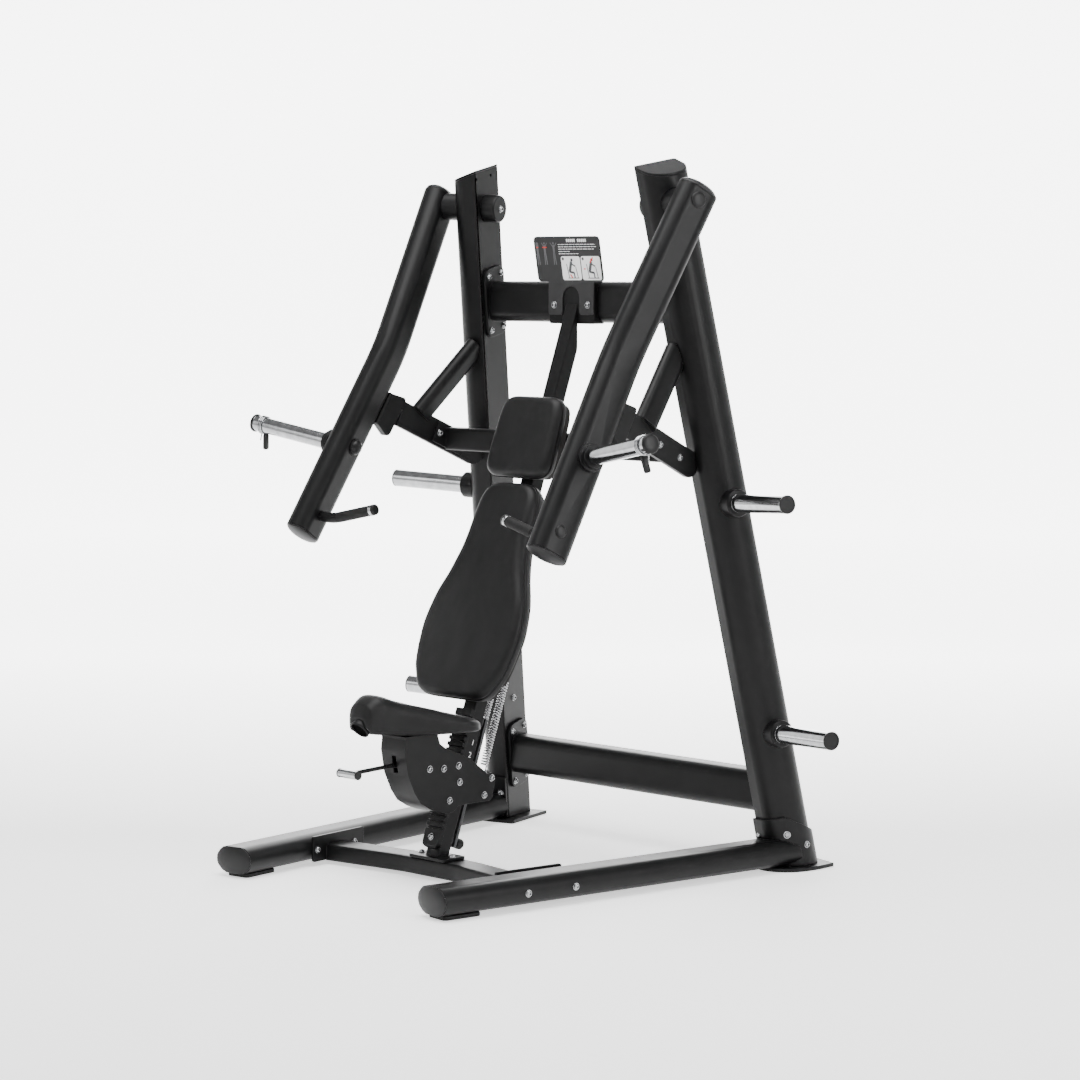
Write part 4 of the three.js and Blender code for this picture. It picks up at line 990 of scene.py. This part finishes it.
# ---- stage and lights ----------------------------------------------------------------------------
def studio():
    """A round bowl that glows, most on the far side of the main view and in the middle of it."""
    made = Nodes("studio_floor")
    tone = made.ramp(made.noise(0.6, 2), (0.86, 0.86, 0.86), (0.88, 0.88, 0.88))
    made.link(tone, made.shader.inputs["Base Color"])
    made.set(Roughness=0.85, Specular_IOR_Level=0.15)
    made.shader.inputs["Emission Color"].default_value = (1, 1, 1, 1)
    away = made.add("ShaderNodeVectorMath", operation="DOT_PRODUCT")
    away.inputs[1].default_value = (-0.71, 0.705, 0)
    made.link(made.place, away.inputs[0])
    share = made.add("ShaderNodeMapRange")
    share.inputs["From Min"].default_value = -6.0
    share.inputs["From Max"].default_value = 4.5
    made.link(away.outputs["Value"], share.inputs["Value"])
    glow = made.add("ShaderNodeValToRGB")
    glow.color_ramp.elements[0].color = (0.01, 0.01, 0.01, 1)
    glow.color_ramp.elements[1].color = (1, 1, 1, 1)
    for stop in (0.36, 0.62):
        glow.color_ramp.elements.new(stop).color = (0.2, 0.2, 0.2, 1)
    made.link(share.outputs["Result"], glow.inputs["Fac"])
    strength = made.add("ShaderNodeMath", operation="MULTIPLY")
    made.link(glow.outputs["Color"], strength.inputs[0])
    sideways = made.add("ShaderNodeVectorMath", operation="DOT_PRODUCT")
    sideways.inputs[1].default_value = (0.705, 0.71, 0)
    made.link(made.place, sideways.inputs[0])
    size = made.add("ShaderNodeMath", operation="ABSOLUTE")
    made.link(sideways.outputs["Value"], size.inputs[0])
    middle = made.add("ShaderNodeMapRange", interpolation_type="SMOOTHSTEP")
    middle.inputs["From Min"].default_value = 3.6
    middle.inputs["From Max"].default_value = 6.5
    middle.inputs["To Min"].default_value = 4.8
    middle.inputs["To Max"].default_value = 0.5
    made.link(size.outputs["Value"], middle.inputs["Value"])
    made.link(middle.outputs["Result"], strength.inputs[1])
    made.link(strength.outputs["Value"], made.shader.inputs["Emission Strength"])
    bowl = Build()
    flat_radius, curve_radius, wall_top = 11, 3, 9.0
    profile = [(0.02, 0.0), (1.0, 0.0), (4.0, 0.0), (8.0, 0.0), (11.0, 0.0)]
    for degrees in range(10, 91, 10):
        angle = math.radians(degrees)
        profile.append((
            flat_radius + curve_radius * math.sin(angle),
            curve_radius - curve_radius * math.cos(angle),
        ))
    profile.append((flat_radius + curve_radius, wall_top))
    floor_drop = 0.0005
    rings = [ring(Z * (up - floor_drop), X, Y, radius, 72) for radius, up in profile]
    bowl.rings(rings, True, False)
    floor = piece("studio", bowl.verts, bowl.faces, made.material, None)


studio()
world = bpy.data.worlds.new("world")
bpy.context.scene.world = world
world.use_nodes = True
sky = world.node_tree.nodes["Background"]
sky.inputs["Color"].default_value = (1, 1, 1, 1)
sky.inputs["Strength"].default_value = 0.28


def area_light(name, place, target, size, power):
    data = bpy.data.lights.new(name, "AREA")
    data.shape = "RECTANGLE"
    data.size, data.size_y = size
    data.energy = power
    made = bpy.data.objects.new(name, data)
    bpy.context.scene.collection.objects.link(made)
    made.location = place
    made.rotation_euler = (Vector(target) - Vector(place)).to_track_quat("-Z", "Y").to_euler()


area_light("overhead", (0.3, -0.6, 4.2), (0, 0, 0.6), (3.4, 3.4), 300)
area_light("left_key", (-1.2, -4.6, 3.2), (0, 0, 0.9), (2.2, 2.2), 30)
area_light("right_fill", (4.8, 0.8, 2.4), (0, 0, 0.9), (0.7, 2.6), 120)
area_light("rear_rim", (-2.4, 3.8, 3.0), (0, 0, 1.0), (2.0, 2.0), 90)

# ---- camera --------------------------------------------------------------------------------------
azimuth, pitch = math.radians(45.211), math.radians(4.871)
look = Vector((
    -math.sin(azimuth) * math.cos(pitch), math.cos(azimuth) * math.cos(pitch), -math.sin(pitch)))
lens = bpy.data.cameras.new("camera")
lens.sensor_width = 36
lens.lens = 105.676
camera = bpy.data.objects.new("camera", lens)
bpy.context.scene.collection.objects.link(camera)
camera.location = (5.93273, -5.76965, 1.5673)
camera.rotation_euler = look.to_track_quat("-Z", "Y").to_euler()
bpy.context.scene.camera = camera
